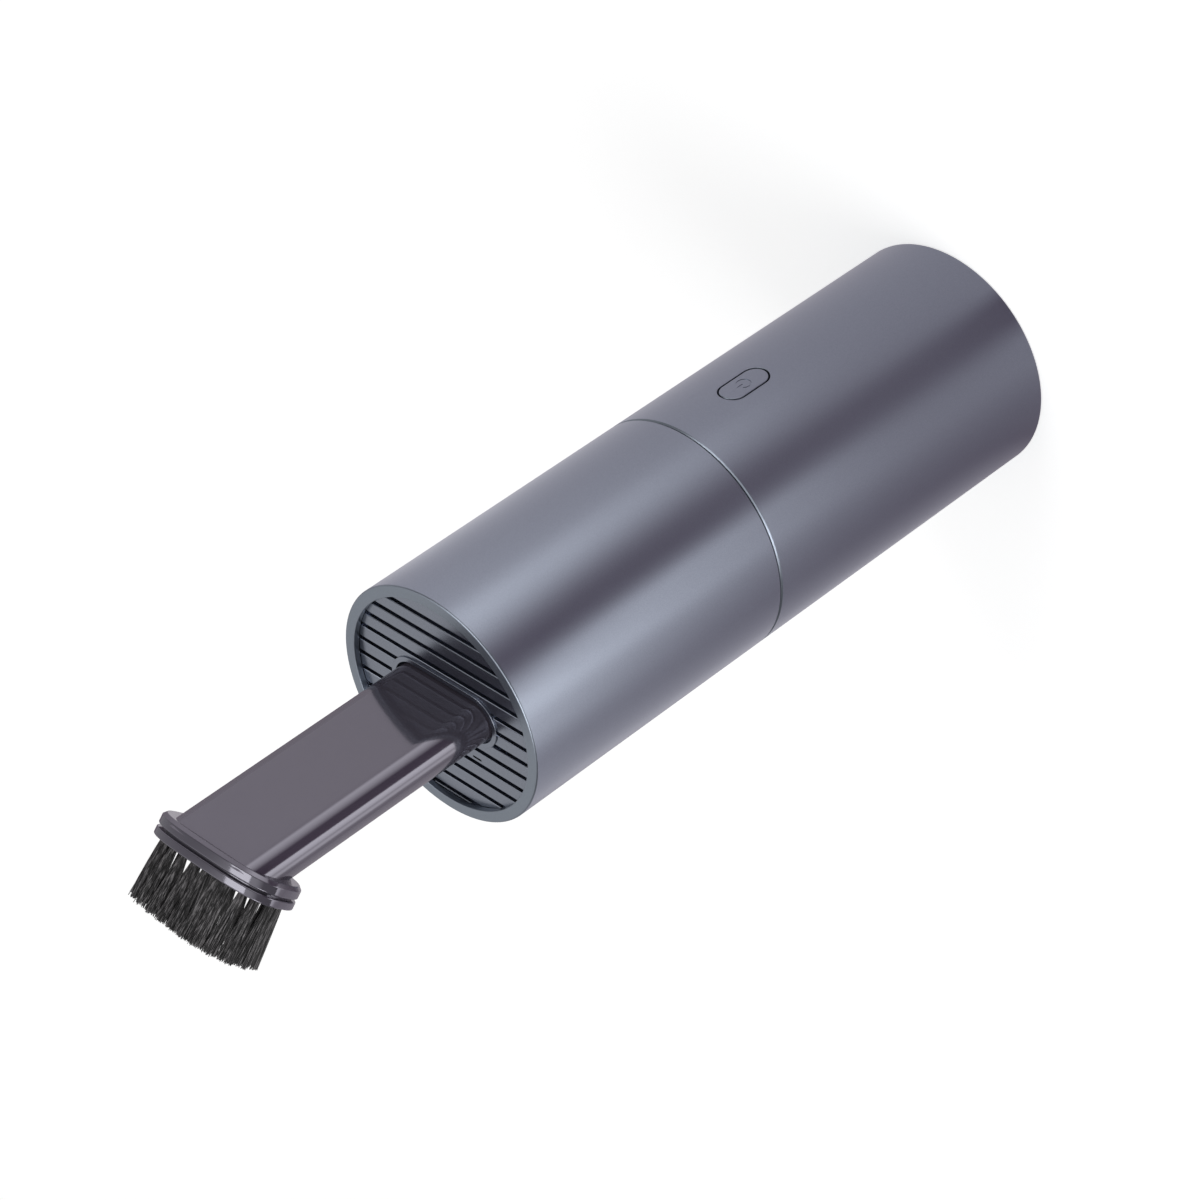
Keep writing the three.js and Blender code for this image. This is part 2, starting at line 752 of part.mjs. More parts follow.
function filterFrame() {
  const base = pipe(filterInner, filterOuterRadius, filterBottom, cageBottom, drumSides);
  const cageInner = filterOuterRadius - filterRibDepth;
  const hoop = pipe(cageInner, filterOuterRadius, cageTop - filterRingHeight, cageTop, drumSides);
  const height = cageTop - filterBottom;
  const rib = () => block(filterOuterRadius - filterRibDepth / 2, 0, filterBottom + height / 2,
    filterRibDepth, filterRibWidth, height);
  return join(base, hoop, ...around(filterRibCount, rib).map((geometry) => (
    solid(geometry).intersect(solid(bar(filterOuterRadius, 0, bodyLength, drumSides)))
  )));
}
add('filter_frame', filterFrame(), blackPlastic);

function filterPleats() {
  const ring = (outside, inside) => Array.from({ length: 2 * pleatCount }, (_, i) => {
    const angle = (Math.PI * i) / pleatCount;
    const radius = i % 2 ? inside : outside;
    return new THREE.Vector2(radius * Math.cos(angle), radius * Math.sin(angle));
  });
  const band = new THREE.Shape(ring(pleatOuter, pleatOuter - pleatDepth));
  band.holes.push(new THREE.Path(ring(pleatOuter - pleatBand, pleatOuter - pleatDepth - pleatBand)));
  return prism(band, cageBottom + seatGap, cageTop - seatGap);
}
add('filter_pleats', filterPleats(), filterPaper);
add('filter_cap', bar(filterOuterRadius, cageTop + seatGap, cageTop + seatGap + filterCapHeight, drumSides),
  blackPlastic);

// Dust cup shell

function dustCupShell() {
  const bottom = seamZ + seamGap / 2;
  return turned([
    [shellBore, bottom],
    [bodyRadius - seamChamfer, bottom],
    [bodyRadius, bottom + seamChamfer],
    [bodyRadius, bodyLength - edgeChamfer],
    [bodyRadius - edgeChamfer, bodyLength],
    [bodyRadius - rimWidth, bodyLength],
    [bodyRadius - rimWidth, bodyLength - rimHeight],
    [shellBore, bodyLength - rimHeight],
  ]);
}
add('dust_cup_shell', dustCupShell(), slatePaint);

// Front grille: a slotted disc with a raised collar and the socket that the nozzle plugs into

function frontGrille() {
  const disc = bar(liner, grilleBottom, grilleTop, bodySides);
  const collar = prism(obround(collarHalfLength, collarHalfWidth), socketBottom, collarTop);
  const inlet = prism(obround(inletHalfLength, inletHalfWidth), socketBottom - overrun, bodyLength);
  const rows = Math.floor(bodyRadius / slotPitch);
  const slots = Array.from({ length: 2 * rows + 1 }, (_, i) => (
    block(0, (i - rows) * slotPitch, grilleTop, 2 * bodyRadius, slotWidth, 2 * slotDepth)
  ));
  const slotField = solid(bar(liner - slotMargin, 0, bodyLength, bodySides));
  const grooves = join(...slots).intersect(slotField);
  const dash = prism(obround(dashLength / 2, dashWidth / 2), grilleTop - dashDepth, bodyLength, slotSteps);
  return cut(join(cut(disc, grooves), collar), inlet, dash.translate(dashX, dashY, 0));
}
add('front_grille', frontGrille(), grillePaint);

// Inlet duct behind the socket, with two ears for the flap's pin

const flapEarX = collarHalfLength - flapEarInset;

function flapBoss(radius, fromX, toX) {
  return bar(radius, fromX, toX).rotateY(Math.PI / 2).translate(0, flapPinY, flapPinZ);
}

function inletDuct() {
  const duct = prism(obround(boreHalfLength + ductWall, boreHalfWidth + ductWall), ductBottom, ductTop);
  const knuckle = flapPinRadius + slidingGap + flapKnuckleWall;
  const ears = [flapEarX - flapEarWidth, -flapEarX].map((x) => {
    const middle = x + flapEarWidth / 2;
    const height = ductTop - flapPinZ;
    const root = block(middle, flapPinY, flapPinZ + height / 2, flapEarWidth, 2 * knuckle, height);
    const web = block(middle, flapPinY / 2, ductTop - ductLength / 2, flapEarWidth, flapPinY, ductLength);
    return join(root, web, flapBoss(knuckle, x, x + flapEarWidth));
  });
  const bore = prism(obround(boreHalfLength, boreHalfWidth), ductBottom - overrun, ductTop + overrun);
  return cut(join(duct, ...ears), bore, flapBoss(flapPinRadius + shaftGap, -bodyRadius, bodyRadius));
}
add('inlet_duct', inletDuct(), blackPlastic);
add('flap_pin', flapBoss(flapPinRadius, -flapEarX - slidingGap, flapEarX + slidingGap), steel);

// Rubber flap that swings into the cup on that pin, and the spring that shuts it

const springHalf = flapSpringLength / 2 + slidingGap;

function inletFlap() {
  const plateShape = obround(boreHalfLength + flapMargin, boreHalfWidth + flapMargin);
  const plate = prism(plateShape, flapTop - flapThickness, flapTop);
  const halfKnuckle = flapEarX - flapEarWidth - slidingGap;
  const knuckle = flapBoss(flapPinRadius + slidingGap + flapKnuckleWall, -halfKnuckle, halfKnuckle);
  const web = block(0, flapPinY / 2, flapPinZ, 2 * halfKnuckle - 2 * boreHalfWidth, flapPinY, flapThickness);
  const springRoom = flapBoss(flapPinRadius + 2 * slidingGap + flapKnuckleWall, -springHalf, springHalf);
  const pinHole = flapBoss(flapPinRadius + shaftGap, -bodyRadius, bodyRadius);
  return cut(join(plate, knuckle, web), springRoom, pinHole);
}
add('inlet_flap', inletFlap(), blackRubber);

function flapSpring() {
  const outer = flapPinRadius + shaftGap + flapSpringWall;
  return cut(flapBoss(outer, -flapSpringLength / 2, flapSpringLength / 2),
    flapBoss(flapPinRadius + shaftGap, -bodyRadius, bodyRadius));
}
add('flap_spring', flapSpring(), steel);

// Nozzle: a flat tube that ends in a slanted flange, and the rubber ring round its other end

function slanted(geometry) {
  return geometry.rotateX(headTilt).translate(0, 0, headZ);
}

const past = headZ + headHalfLength;
const sealBottom = nozzleBottom + sealFromEnd;

// A band round the nozzle, from one of its outlines out to another.
function nozzleBand(inwards, outerLength, outerWidth, low, high) {
  return cut(
    prism(obround(outerLength, outerWidth), low, high),
    prism(obround(nozzleHalfLength - inwards, nozzleHalfWidth - inwards), low - overrun, high + overrun),
  );
}

function nozzleTube() {
  const tube = prism(obround(nozzleHalfLength, nozzleHalfWidth), nozzleBottom, past);
  const beyond = slanted(block(0, 0, flangeThickness / 2 + past, 2 * past, 2 * past, 2 * past));
  const shoulderShape = oval(headHalfLength - flangeShoulderWidth, headHalfWidth - flangeShoulderWidth);
  const shoulder = slanted(new THREE.ExtrudeGeometry(shoulderShape, {
    depth: flangeThickness - flangeShoulder,
    bevelThickness: flangeShoulder,
    bevelSize: flangeShoulderWidth,
    bevelSegments: 1,
  }));
  const rim = slanted(prism(oval(headHalfLength, headHalfWidth), 0, flangeThickness));
  const bore = prism(obround(boreHalfLength, boreHalfWidth), nozzleBottom - overrun, past);
  const spigotHole = oval(spigotHalfLength + slidingGap, spigotHalfWidth + slidingGap);
  const socket = slanted(prism(spigotHole, flangeThickness - flangeSocketDepth, flangeThickness + overrun));
  const sealTop = sealBottom + sealHeight;
  const groove = nozzleBand(sealGrooveDepth, inletHalfLength, inletHalfWidth, sealBottom, sealTop);
  return cut(join(cut(tube, beyond), shoulder, rim), bore, socket, groove);
}
add('nozzle_tube', nozzleTube(), glossCharcoal);
add('nozzle_seal', nozzleBand(sealGrooveDepth - seatGap, inletHalfLength - seatGap, inletHalfWidth - seatGap,
  sealBottom + seatGap, sealBottom + sealHeight - seatGap), blackRubber);

// Brush head: a ring with a spigot behind it and a channel for the bristles' backing in front

function brushBase() {
  const ring = prism(oval(headHalfLength, headHalfWidth), brushRingBottom, brushRingTop);
  const neck = prism(oval(headHalfLength - headGrooveDepth, headHalfWidth - headGrooveDepth),
    flangeThickness + slidingGap, brushRingBottom);
  const spigot = prism(oval(spigotHalfLength, spigotHalfWidth),
    flangeThickness - flangeSocketDepth + slidingGap, brushRingBottom);
  const mouth = prism(oval(mouthHalfLength, mouthHalfWidth), -overrun, brushRingTop + overrun);
  const channelFloor = brushRingTop - channelDepth;
  const channel = cut(
    prism(oval(channelOuterLength, channelOuterWidth), channelFloor, brushRingTop + overrun),
    prism(oval(mouthHalfLength + mouthWall, mouthHalfWidth + mouthWall), channelFloor - overrun, past),
  );
  return cut(join(ring, neck, spigot), mouth, channel);
}
add('brush_base', brushBase(), glossCharcoal, head);

// Bristles: tufts along an oval, each a bundle of strands that spreads towards its tip

const tuftCount = 2 * (tuftsPerRow + tuftsPerEnd);
const backingBottom = brushRingTop - backingThickness;
const backingInnerLength = mouthHalfLength + mouthWall + seatGap;
const backingInnerWidth = mouthHalfWidth + mouthWall + seatGap;
const tuftHalfLength = backingInnerLength + backingWidth / 2;
const tuftHalfWidth = backingInnerWidth + backingWidth / 2;

// The oval's angle at a share of the way round it, measured along its edge from the +X end.
function ovalAngle(share) {
  const steps = 20 * ovalSteps;
  const places = Array.from({ length: steps + 1 }, (_, i) => (
    ovalPoint(tuftHalfLength, tuftHalfWidth, (2 * Math.PI * i) / steps)
  ));
  const lengths = places.map((place, i) => (i ? place.distanceTo(places[i - 1]) : 0));
  const total = lengths.reduce((sum, length) => sum + length, 0);
  const turns = Math.floor(share);
  let left = (share - turns) * total;
  const i = lengths.findIndex((length) => {
    left -= length;
    return left < 0;
  });
  return 2 * Math.PI * (turns + (i + left / lengths[i]) / steps);
}

function backingSlice(fromTuft, toTuft) {
  const gap = seatGap / backingWidth / 2;
  const steps = 3 * (toTuft - fromTuft);
  const angles = Array.from({ length: steps + 1 }, (_, i) => {
    const tuft = fromTuft + gap + ((toTuft - fromTuft - 2 * gap) * i) / steps;
    return ovalAngle(tuft / tuftCount);
  });
  const outer = angles.map((angle) => (
    ovalPoint(backingInnerLength + backingWidth, backingInnerWidth + backingWidth, angle)
  ));
  const inner = angles.map((angle) => ovalPoint(backingInnerLength, backingInnerWidth, angle)).reverse();
  return prism(new THREE.Shape([...outer, ...inner]), backingBottom, brushRingTop);
}

// One strand as its corner points, root ring first and then the ring at its tip.
function strandCorners(root, tip) {
  const ring = (centre, radius) => Array.from({ length: bristleSides }, (_, i) => {
    const angle = (2 * Math.PI * i) / bristleSides;
    return [centre.x + radius * Math.cos(angle), centre.y + radius * Math.sin(angle), centre.z];
  });
  return [...ring(root, bristleRadius), ...ring(tip, bristleTipRadius)];
}

function strandFaces(first) {
  const faces = [];
  for (let i = 0; i < bristleSides; i += 1) {
    const next = (i + 1) % bristleSides;
    faces.push([i, next, bristleSides + i], [next, bristleSides + next, bristleSides + i]);
  }
  for (let i = 1; i < bristleSides - 1; i += 1) {
    faces.push([0, i + 1, i], [bristleSides, bristleSides + i, bristleSides + i + 1]);
  }
  return faces.flat().map((corner) => corner + first);
}

function tuftStrands(tuft) {
  const angle = ovalAngle((tuft + 0.5) / tuftCount);
  const centre = ovalPoint(tuftHalfLength, tuftHalfWidth, angle);
  const outside = ovalPoint(tuftHalfLength + bristleSplay, tuftHalfWidth + bristleSplay, angle);
  return Array.from({ length: bristlesPerTuft }, (_, i) => {
    const share = Math.sqrt((i + 0.5) / bristlesPerTuft);
    const turn = goldenAngle * i;
    const length = bristleLength + bristleRaggedness * Math.sin(goldenAngle * (tuft * bristlesPerTuft + i));
    const at = (middle, radius, height) => new THREE.Vector3(
      middle.x + radius * share * Math.cos(turn),
      middle.y + radius * share * Math.sin(turn),
      height,
    );
    const root = at(centre, tuftRadius, brushRingTop - backingThickness / 2);
    return strandCorners(root, at(outside, tuftTipRadius, brushRingTop + length));
  });
}

function bristles(fromTuft, toTuft) {
  const tufts = Array.from({ length: toTuft - fromTuft }, (_, i) => tuftStrands(fromTuft + i));
  const strands = tufts.flat();
  const geometry = new THREE.BufferGeometry();
  geometry.setAttribute('position', new THREE.Float32BufferAttribute(strands.flat(2), 3));
  geometry.setIndex(strands.flatMap((_, i) => strandFaces(2 * bristleSides * i)));
  return join(backingSlice(fromTuft, toTuft), geometry);
}

const rowStart = tuftsPerEnd / 2;
const farEnd = rowStart + tuftsPerRow;
const backRow = farEnd + tuftsPerEnd;
add('bristles_front_row', bristles(rowStart, farEnd), blackBristle, head);
add('bristles_left_end', bristles(farEnd, backRow), blackBristle, head);
add('bristles_back_row', bristles(backRow, tuftCount - rowStart), blackBristle, head);
add('bristles_right_end', bristles(tuftCount - rowStart, tuftCount + rowStart), blackBristle, head);

export default vacuum;
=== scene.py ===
# Handheld vacuum cleaner, standing on its rear end with the brush up.
# Sizes are in millimetres in the code, and MM turns them into Blender's metres.

import math
import random

import bmesh
import bpy
from mathutils import Matrix, Vector, noise


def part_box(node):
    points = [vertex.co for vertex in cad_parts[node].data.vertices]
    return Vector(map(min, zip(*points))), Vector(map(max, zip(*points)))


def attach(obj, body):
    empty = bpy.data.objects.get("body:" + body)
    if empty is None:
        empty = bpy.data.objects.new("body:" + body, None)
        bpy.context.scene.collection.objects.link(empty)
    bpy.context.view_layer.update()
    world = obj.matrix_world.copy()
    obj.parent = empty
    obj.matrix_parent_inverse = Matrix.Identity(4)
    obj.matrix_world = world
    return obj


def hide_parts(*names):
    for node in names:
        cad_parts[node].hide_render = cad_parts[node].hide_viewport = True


MM = 0.001
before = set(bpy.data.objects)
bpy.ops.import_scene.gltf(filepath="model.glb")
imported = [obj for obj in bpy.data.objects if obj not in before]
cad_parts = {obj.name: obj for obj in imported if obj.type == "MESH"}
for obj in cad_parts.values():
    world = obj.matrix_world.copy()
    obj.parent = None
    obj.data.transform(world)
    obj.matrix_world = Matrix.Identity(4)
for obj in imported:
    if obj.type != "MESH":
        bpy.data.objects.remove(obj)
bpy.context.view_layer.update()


def placed(name, data):
    """A new object in the scene that holds a mesh, a lamp or a camera."""
    thing = bpy.data.objects.new(name, data)
    bpy.context.scene.collection.objects.link(thing)
    return thing


# Camera

CAMERA_LENS = 118.74
CAMERA_SENSOR = 36
CAMERA_START = 50
CAMERA_END = 60000
CAMERA_PLACE = Vector((550.3, 619.6, 669.5))
CAMERA_RIGHT = Vector((0.72204, -0.04435, -0.69043))
CAMERA_UP = Vector((-0.41026, 0.77610, -0.47890))


def make_camera():
    """The camera that sees the object as the photo does, from its place and its right and up directions."""
    lens = bpy.data.cameras.new("photo_camera")
    lens.lens = CAMERA_LENS
    lens.sensor_width = CAMERA_SENSOR
    lens.clip_start = CAMERA_START * MM
    lens.clip_end = CAMERA_END * MM
    camera = placed("photo_camera", lens)
    back = CAMERA_RIGHT.cross(CAMERA_UP)
    turn = Matrix((CAMERA_RIGHT, CAMERA_UP, back)).transposed().to_4x4()
    camera.matrix_world = Matrix.Translation(CAMERA_PLACE * MM) @ turn
    bpy.context.scene.camera = camera


make_camera()


# Sizes that the frame gives

def lowest(node):
    return Vector(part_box(node)[0]) / MM


def highest(node):
    return Vector(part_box(node)[1]) / MM


def heights(node):
    return lowest(node).z, highest(node).z


# Gaps and rounded edges that many pieces share, and how fine the meshes are

GAP = 0.3
SEAT_GAP = 0.15
CUT_OVERRUN = 1
SHARP_EDGE = 0.1
CRISP_EDGE = 0.15
FINE_EDGE = 0.2
SOFT_EDGE = 0.3
ROUND_EDGE = 0.5
BODY_SIDES = 256
SMALL_SIDES = 48
ARC_STEPS = 20
FILLET_STEPS = 4
OVAL_STEPS = 160
MERGE_DISTANCE = 0.0005

# Shells and the seam between them

BODY_RADIUS = highest("dust_cup_shell").x
BODY_TOP = highest("dust_cup_shell").z
SEAM_TRIM = 0.1
CUP_BOTTOM = lowest("dust_cup_shell").z - SEAM_TRIM
SHELL_TOP = highest("main_shell").z + SEAM_TRIM
SHELL_WALL = 2.2
SHELL_BORE = BODY_RADIUS - SHELL_WALL
LINER = SHELL_BORE - GAP
SEAM_CHAMFER = 0.4
SEAM_Z = (SHELL_TOP + CUP_BOTTOM) / 2
RIM_WIDTH = 3.25
RIM_HEIGHT = 1.6
LIP_RADIUS = BODY_RADIUS - RIM_WIDTH
REAR_TURN = math.radians(2.8)

# Button, its hole in the shell and its symbol

BUTTON_Z = sum(heights("power_button")) / 2
BUTTON_HALF_LENGTH = 7.65
BUTTON_HALF_WIDTH = 3.58
BUTTON_GAP = 0.42
BUTTON_FILLET = 0.3
BUTTON_FLANGE = 1.5
BUTTON_FLANGE_DEPTH = 2.75
BUTTON_BACK_DEPTH = 3.7
BUTTON_FACE_RINGS = (0.001, 0.3, 0.6, 0.85)
BUTTON_HOLE_RINGS = (1.6, 0.8, 0.4)
SYMBOL_RADIUS = 1.85
SYMBOL_LINE = 0.34
SYMBOL_DEPTH = 0.12
SYMBOL_GAP = math.radians(76)
SYMBOL_BAR = (0.25, 1.25)
SYMBOL_STEPS = 40

# Front grille, and the collar that holds the nozzle

COLLAR_TOP = highest("front_grille").z
COLLAR_RISE = 0.4
COLLAR_WALL = 1.4
COLLAR_EDGE = 0.12
GRILLE_TOP = COLLAR_TOP - COLLAR_RISE
GRILLE_THICKNESS = 4.4
SOCKET_BOTTOM = lowest("front_grille").z
SLOT_PITCH = 4.75
SLOT_WIDTH = 1.3
SLOT_DEPTH = 3
FIELD_INSET = 0.6
SLOT_FIELD = LINER - FIELD_INSET
BAR_EDGE = 0.17
BAR_OVERRUN = 0.5
BAR_STEPS = 14
DASH_LENGTH = 3
DASH_WIDTH = 0.6
DASH_DEPTH = 2.6
DASH_PLACE = (10.1, -12.4)

# Nozzle, and the brush base that sits on its slanted flange

NOZZLE_BOTTOM = lowest("nozzle_tube").z
NOZZLE_HALF_LENGTH = 16.05
NOZZLE_HALF_WIDTH = 5.63
NOZZLE_WALL = 1.47
NOZZLE_SEAL_WIDTH = 0.9
NOZZLE_STEPS = 32
INLET_END_GAP = 0.55
INLET_SIDE_GAP = 0.77
INLET_HALF_LENGTH = NOZZLE_HALF_LENGTH + INLET_END_GAP
INLET_HALF_WIDTH = NOZZLE_HALF_WIDTH + INLET_SIDE_GAP
NOZZLE_REACH = 68.6
HEAD_Z = BODY_TOP + NOZZLE_REACH
HEAD_TILT = math.radians(47)
HEAD_HALF_LENGTH = 20.1
HEAD_HALF_WIDTH = 10.1
HEAD_OFFSET = 1
OVAL_POWER = 3
HEAD_EDGE = 0.35
FLANGE_THICKNESS = 2.2
SHOULDER_HEIGHT = 0.9
SHOULDER_WIDTH = 0.8
TUBE_OVERRUN = 1
FLANGE_SOCKET_INSET = 2.9
FLANGE_SOCKET_FLOOR = 0.7
FLANGE_BORE_INSET = 5.4
GROOVE_DEPTH = 1.4
GROOVE_BOTTOM = FLANGE_THICKNESS + GAP
BRUSH_SEAM = 0.7
BRUSH_HEIGHT = 2.1
BRUSH_BOTTOM = FLANGE_THICKNESS + BRUSH_SEAM
BRUSH_TOP = BRUSH_BOTTOM + BRUSH_HEIGHT
SPIGOT_INSET = FLANGE_SOCKET_INSET + GAP
SPIGOT_BOTTOM = FLANGE_SOCKET_FLOOR + GAP
MOUTH_INSET = 5.9
CHANNEL_OUTER_INSET = 1
CHANNEL_INNER_INSET = 4.7
CHANNEL_DEPTH = 1.55

# Bristles

TUFTS_PER_ROW = 7
TUFTS_PER_END = 4
TUFT_COUNT = 2 * (TUFTS_PER_ROW + TUFTS_PER_END)
TUFT_RADIUS = 0.66
TUFT_PHASE = 0.18
TUFT_TIP_RADIUS = 2.05
TUFT_SPLAY = (-0.4, 1.6)
STRANDS_PER_TUFT = 130
STRAND_RADIUS = 0.16
STRAND_TIP_RADIUS = 0.11
STRAND_LENGTH = 16.2
STRAND_STEPS = 4
STRAND_SIDES = 4
BOW_FULLNESS = 1.5
ROOT_RISE = 0.2
END_DROP = 1.3
BRISTLE_CHANCE = 7
LENGTH_CHANCE = (-1.0, 0.3, 0.1)
TIP_CHANCE = (0.4, 0.3)
BOW_CHANCE = (0.35, 0.3)
THICKNESS_CHANCE = (0.8, 1.15)

# Rear cap, its screws, the foam behind its slots and the charging socket

CAP_THICKNESS = 3
CAP_SKIRT = 4
CAP_SKIRT_WALL = 1.5
CAP_EDGE = 0.4
EXHAUST_PLACES = 12
EXHAUST_INNER = 12.4
EXHAUST_OUTER = 22.4
EXHAUST_WIDTH = 2
FOAM_MARGIN = 0.8
FOAM_STEPS = 12
FOAM_CELL = 0.8
FOAM_PITS = 0.25
SCREWS = 3
BOSS_RADIUS = 3.2
BOSS_TOP = lowest("battery_holder").z - SEAT_GAP
BOSS_SINK = 0.5
SCREW_RADIUS = 1.2
SCREW_HEAD_RADIUS = 2.3
SCREW_HEAD_HEIGHT = 1.3
SCREW_TIP_EDGE = 0.4
SCREW_DRIVE = 0.7
SCREW_DRIVE_DEPTH = 0.8
SCREW_RECESS = 1.8
HOLE_FLARE = 0.25
SOCKET_HALF_LENGTH = 4.47
SOCKET_HALF_WIDTH = 1.6
SOCKET_WALL = 0.35
SOCKET_EDGE = 0.12
SOCKET_BACK_SINK = 0.05
TONGUE_HALF_LENGTH = 3.3
TONGUE_HALF_WIDTH = 0.35

# Shroud over the fan, its seal, and the fan

SPIGOT_RADIUS = LINER - GAP
SPIGOT_WALL = 2.2
SEAT_RING_HEIGHT = 4
SHROUD_Z = highest("fan_shroud").z - SEAT_RING_HEIGHT
SHROUD_TOP = 2.5
EYE_RADIUS = 11
SEAT_RING_RADIUS = 13
LEDGE_EDGE = 0.05
SHOULDER_EDGE = 0.6
RING_FOOT_EDGE = 0.4
EYE_EDGE = 0.7
THROAT_EDGE = 0.8
CEILING_EDGE = 1
SEAL_FROM_TOP = 2.6
SEAL_HEIGHT = 2.4
SEAL_DEPTH = 1
SEAL_SIDES = 192
LIP_SHARE = 0.3
CUP_SEAL_LIP = 0.35
FILTER_SEAL_LIP = 0.4
FAN_RADIUS = 22
FAN_PLATE = 1.2
FAN_HUB = 5
FAN_ROOT_EDGE = 1.2
FAN_BLADES = 7
BLADE_THICKNESS = 0.8
BLADE_SWEEP = 0.9
BLADE_INSET = 0.2
BLADE_STEPS = 16

# Filter

FILTER_AIR_GAP = 5.3
FILTER_RADIUS = SHELL_BORE - FILTER_AIR_GAP
FILTER_SEAL_WIDTH = 5
FILTER_RIBS = 6
RIB_DEPTH = 1.6
RIB_WIDTH = 2
HOOP_HEIGHT = 1.6
PLEATS = 30
PLEAT_OUTER = FILTER_RADIUS - RIB_DEPTH - GAP
PLEAT_DEPTH = 4.3
PLEAT_BAND = 1.2
PLEAT_STEPS = 14
PLEAT_LEVELS = 10
FOLD_SHARPNESS = 0.985
FOLD_LEAN = 0.006
LEAN_CHANGE = 0.12
PLEAT_CHANCE = 3.5
LID_EDGE = 0.6
LID_RIM = 0.86
LID_FLOOR = 0.82
LID_DISH = 0.7
DISH_EDGE = 0.4


def spaced(start, end, steps):
    """Even steps from the start to the end, with both of them."""
    return [start + (end - start) * i / steps for i in range(steps + 1)]


# Outlines: each gives its points when it is drawn in by an inset

def circle(radius, sides=BODY_SIDES):
    def outline(inset=0):
        size = radius - inset
        angles = [math.tau * i / sides for i in range(sides)]
        return [(size * math.cos(angle), size * math.sin(angle)) for angle in angles]
    return outline


def obround(half_length, half_width, steps=ARC_STEPS, straights=10):
    arm = half_length - half_width

    def outline(inset=0):
        size = half_width - inset
        points = []
        for side in (1, -1):
            for i in range(steps + 1):
                angle = -math.pi / 2 + math.pi * i / steps
                x = side * (arm + size * math.cos(angle))
                points.append((x, side * size * math.sin(angle)))
            for i in range(1, straights):
                x = side * arm * (1 - 2 * i / straights)
                points.append((x, side * size))
        return points
    return outline


def oval(half_length, half_width):
    def outline(inset=0):
        angles = [math.tau * i / OVAL_STEPS for i in range(OVAL_STEPS)]
        return [oval_point(half_length - inset, half_width - inset, angle) for angle in angles]
    return outline


def oval_point(half_length, half_width, angle):
    """A point on the squared-off oval of the brush head, whose power sets how square it is."""
    x = math.cos(angle)
    y = math.sin(angle)
    reach = (abs(x) ** OVAL_POWER + abs(y) ** OVAL_POWER) ** (-1 / OVAL_POWER)
    return half_length * x * reach, half_width * y * reach - HEAD_OFFSET


def softened(corners):
    """A closed profile of (place, height, fillet) corners, with each fillet drawn as an arc."""
    points = []
    for i, corner in enumerate(corners):
        here = Vector(corner[:2])
        fillet = corner[2] if len(corner) > 2 else 0
        if not fillet:
            points.append(tuple(here))
            continue
        back = (Vector(corners[i - 1][:2]) - here).normalized()
        ahead = (Vector(corners[(i + 1) % len(corners)][:2]) - here).normalized()
        half = back.angle(ahead) / 2
        centre = here + (back + ahead).normalized() * fillet / math.sin(half)
        start = here + back * fillet / math.tan(half) - centre
        end = here + ahead * fillet / math.tan(half) - centre
        for share in spaced(0, 1, FILLET_STEPS):
            points.append(tuple(centre + start.lerp(end, share).normalized() * fillet))
    return points


# Solids, as lists of points and faces

def loft(rings, closed=True):
    count = len(rings[0])
    points = [point for ring in rings for point in ring]
    faces = []
    for j in range(len(rings) if closed else len(rings) - 1):
        here = j * count
        there = (j + 1) % len(rings) * count
        for i in range(count):
            k = (i + 1) % count
            faces.append((here + i, here + k, there + k, there + i))
    return points, faces


def rings_of(outline, profile):
    """The outline drawn at each (inset, height) of a profile."""
    return [[(x, y, height) for x, y in outline(inset)] for inset, height in profile]


def spun(profile, sides=BODY_SIDES):
    """A closed profile of (radius, height) points spun round the axis."""
    return loft([[(x, y, height) for x, y in circle(radius, sides)()] for radius, height in profile])


def turned(corners, sides=BODY_SIDES, centre=(0, 0)):
    """A closed profile of (radius, height, fillet) corners spun round an upright line."""
    return moved(spun(softened(corners), sides), (*centre, 0))


def banded(outline, corners):
    """A band round an outline, from a closed profile of (inset, height, fillet) corners."""
    return loft(rings_of(outline, softened(corners)))


def plate(points, low, high, edge=0.0, steps=2):
    """A flat plate with its upper edges rounded."""
    shape = bmesh.new()
    top = [shape.verts.new((x, y, high)) for x, y in points]
    bottom = [shape.verts.new((x, y, low)) for x, y in points]
    lid = shape.faces.new(top)
    shape.faces.new(bottom[::-1])
    for i in range(len(points)):
        k = (i + 1) % len(points)
        shape.faces.new((bottom[i], bottom[k], top[k], top[i]))
    if edge:
        bmesh.ops.bevel(shape, geom=list(lid.edges), offset=edge, segments=steps, profile=0.5, affect="EDGES")
    shape.verts.index_update()
    made = [tuple(vert.co) for vert in shape.verts]
    faces = [tuple(vert.index for vert in face.verts) for face in shape.faces]
    shape.free()
    return made, faces


def funnel(outline, low, high, flare):
    """The shape of a hole that opens out where it meets the face at the low height."""
    profile = [(-flare, low - CUT_OVERRUN), (-flare, low), (0, low + flare), (0, high)]
    return capped(rings_of(outline, profile))


def capped(rings):
    """A loft with both of its ends closed."""
    points, faces = loft(rings, closed=False)
    count = len(rings[0])
    first = tuple(range(count))
    last = tuple(range(len(points) - count, len(points)))
    return points, faces + [first[::-1], last]


def moved(part, shift=(0, 0, 0), turn=0.0):
    points, faces = part
    spin = Matrix.Rotation(turn, 3, "Z")
    return [tuple(spin @ Vector(point) + Vector(shift)) for point in points], faces


def mapped(part, place):
    points, faces = part
    return [place(*point) for point in points], faces


def in_rear(part):
    """Turns a part with the rear half of the body."""
    return moved(part, turn=REAR_TURN)


def middle(node):
    """Where the upright axis of a node stands."""
    centre = (lowest(node) + highest(node)) / 2
    return centre.x, centre.y


def on_head(x, y, height):
    """From the brush head's own plane to the frame."""
    return tuple(Matrix.Rotation(HEAD_TILT, 3, "X") @ Vector((x, y, height)) + Vector((0, 0, HEAD_Z)))


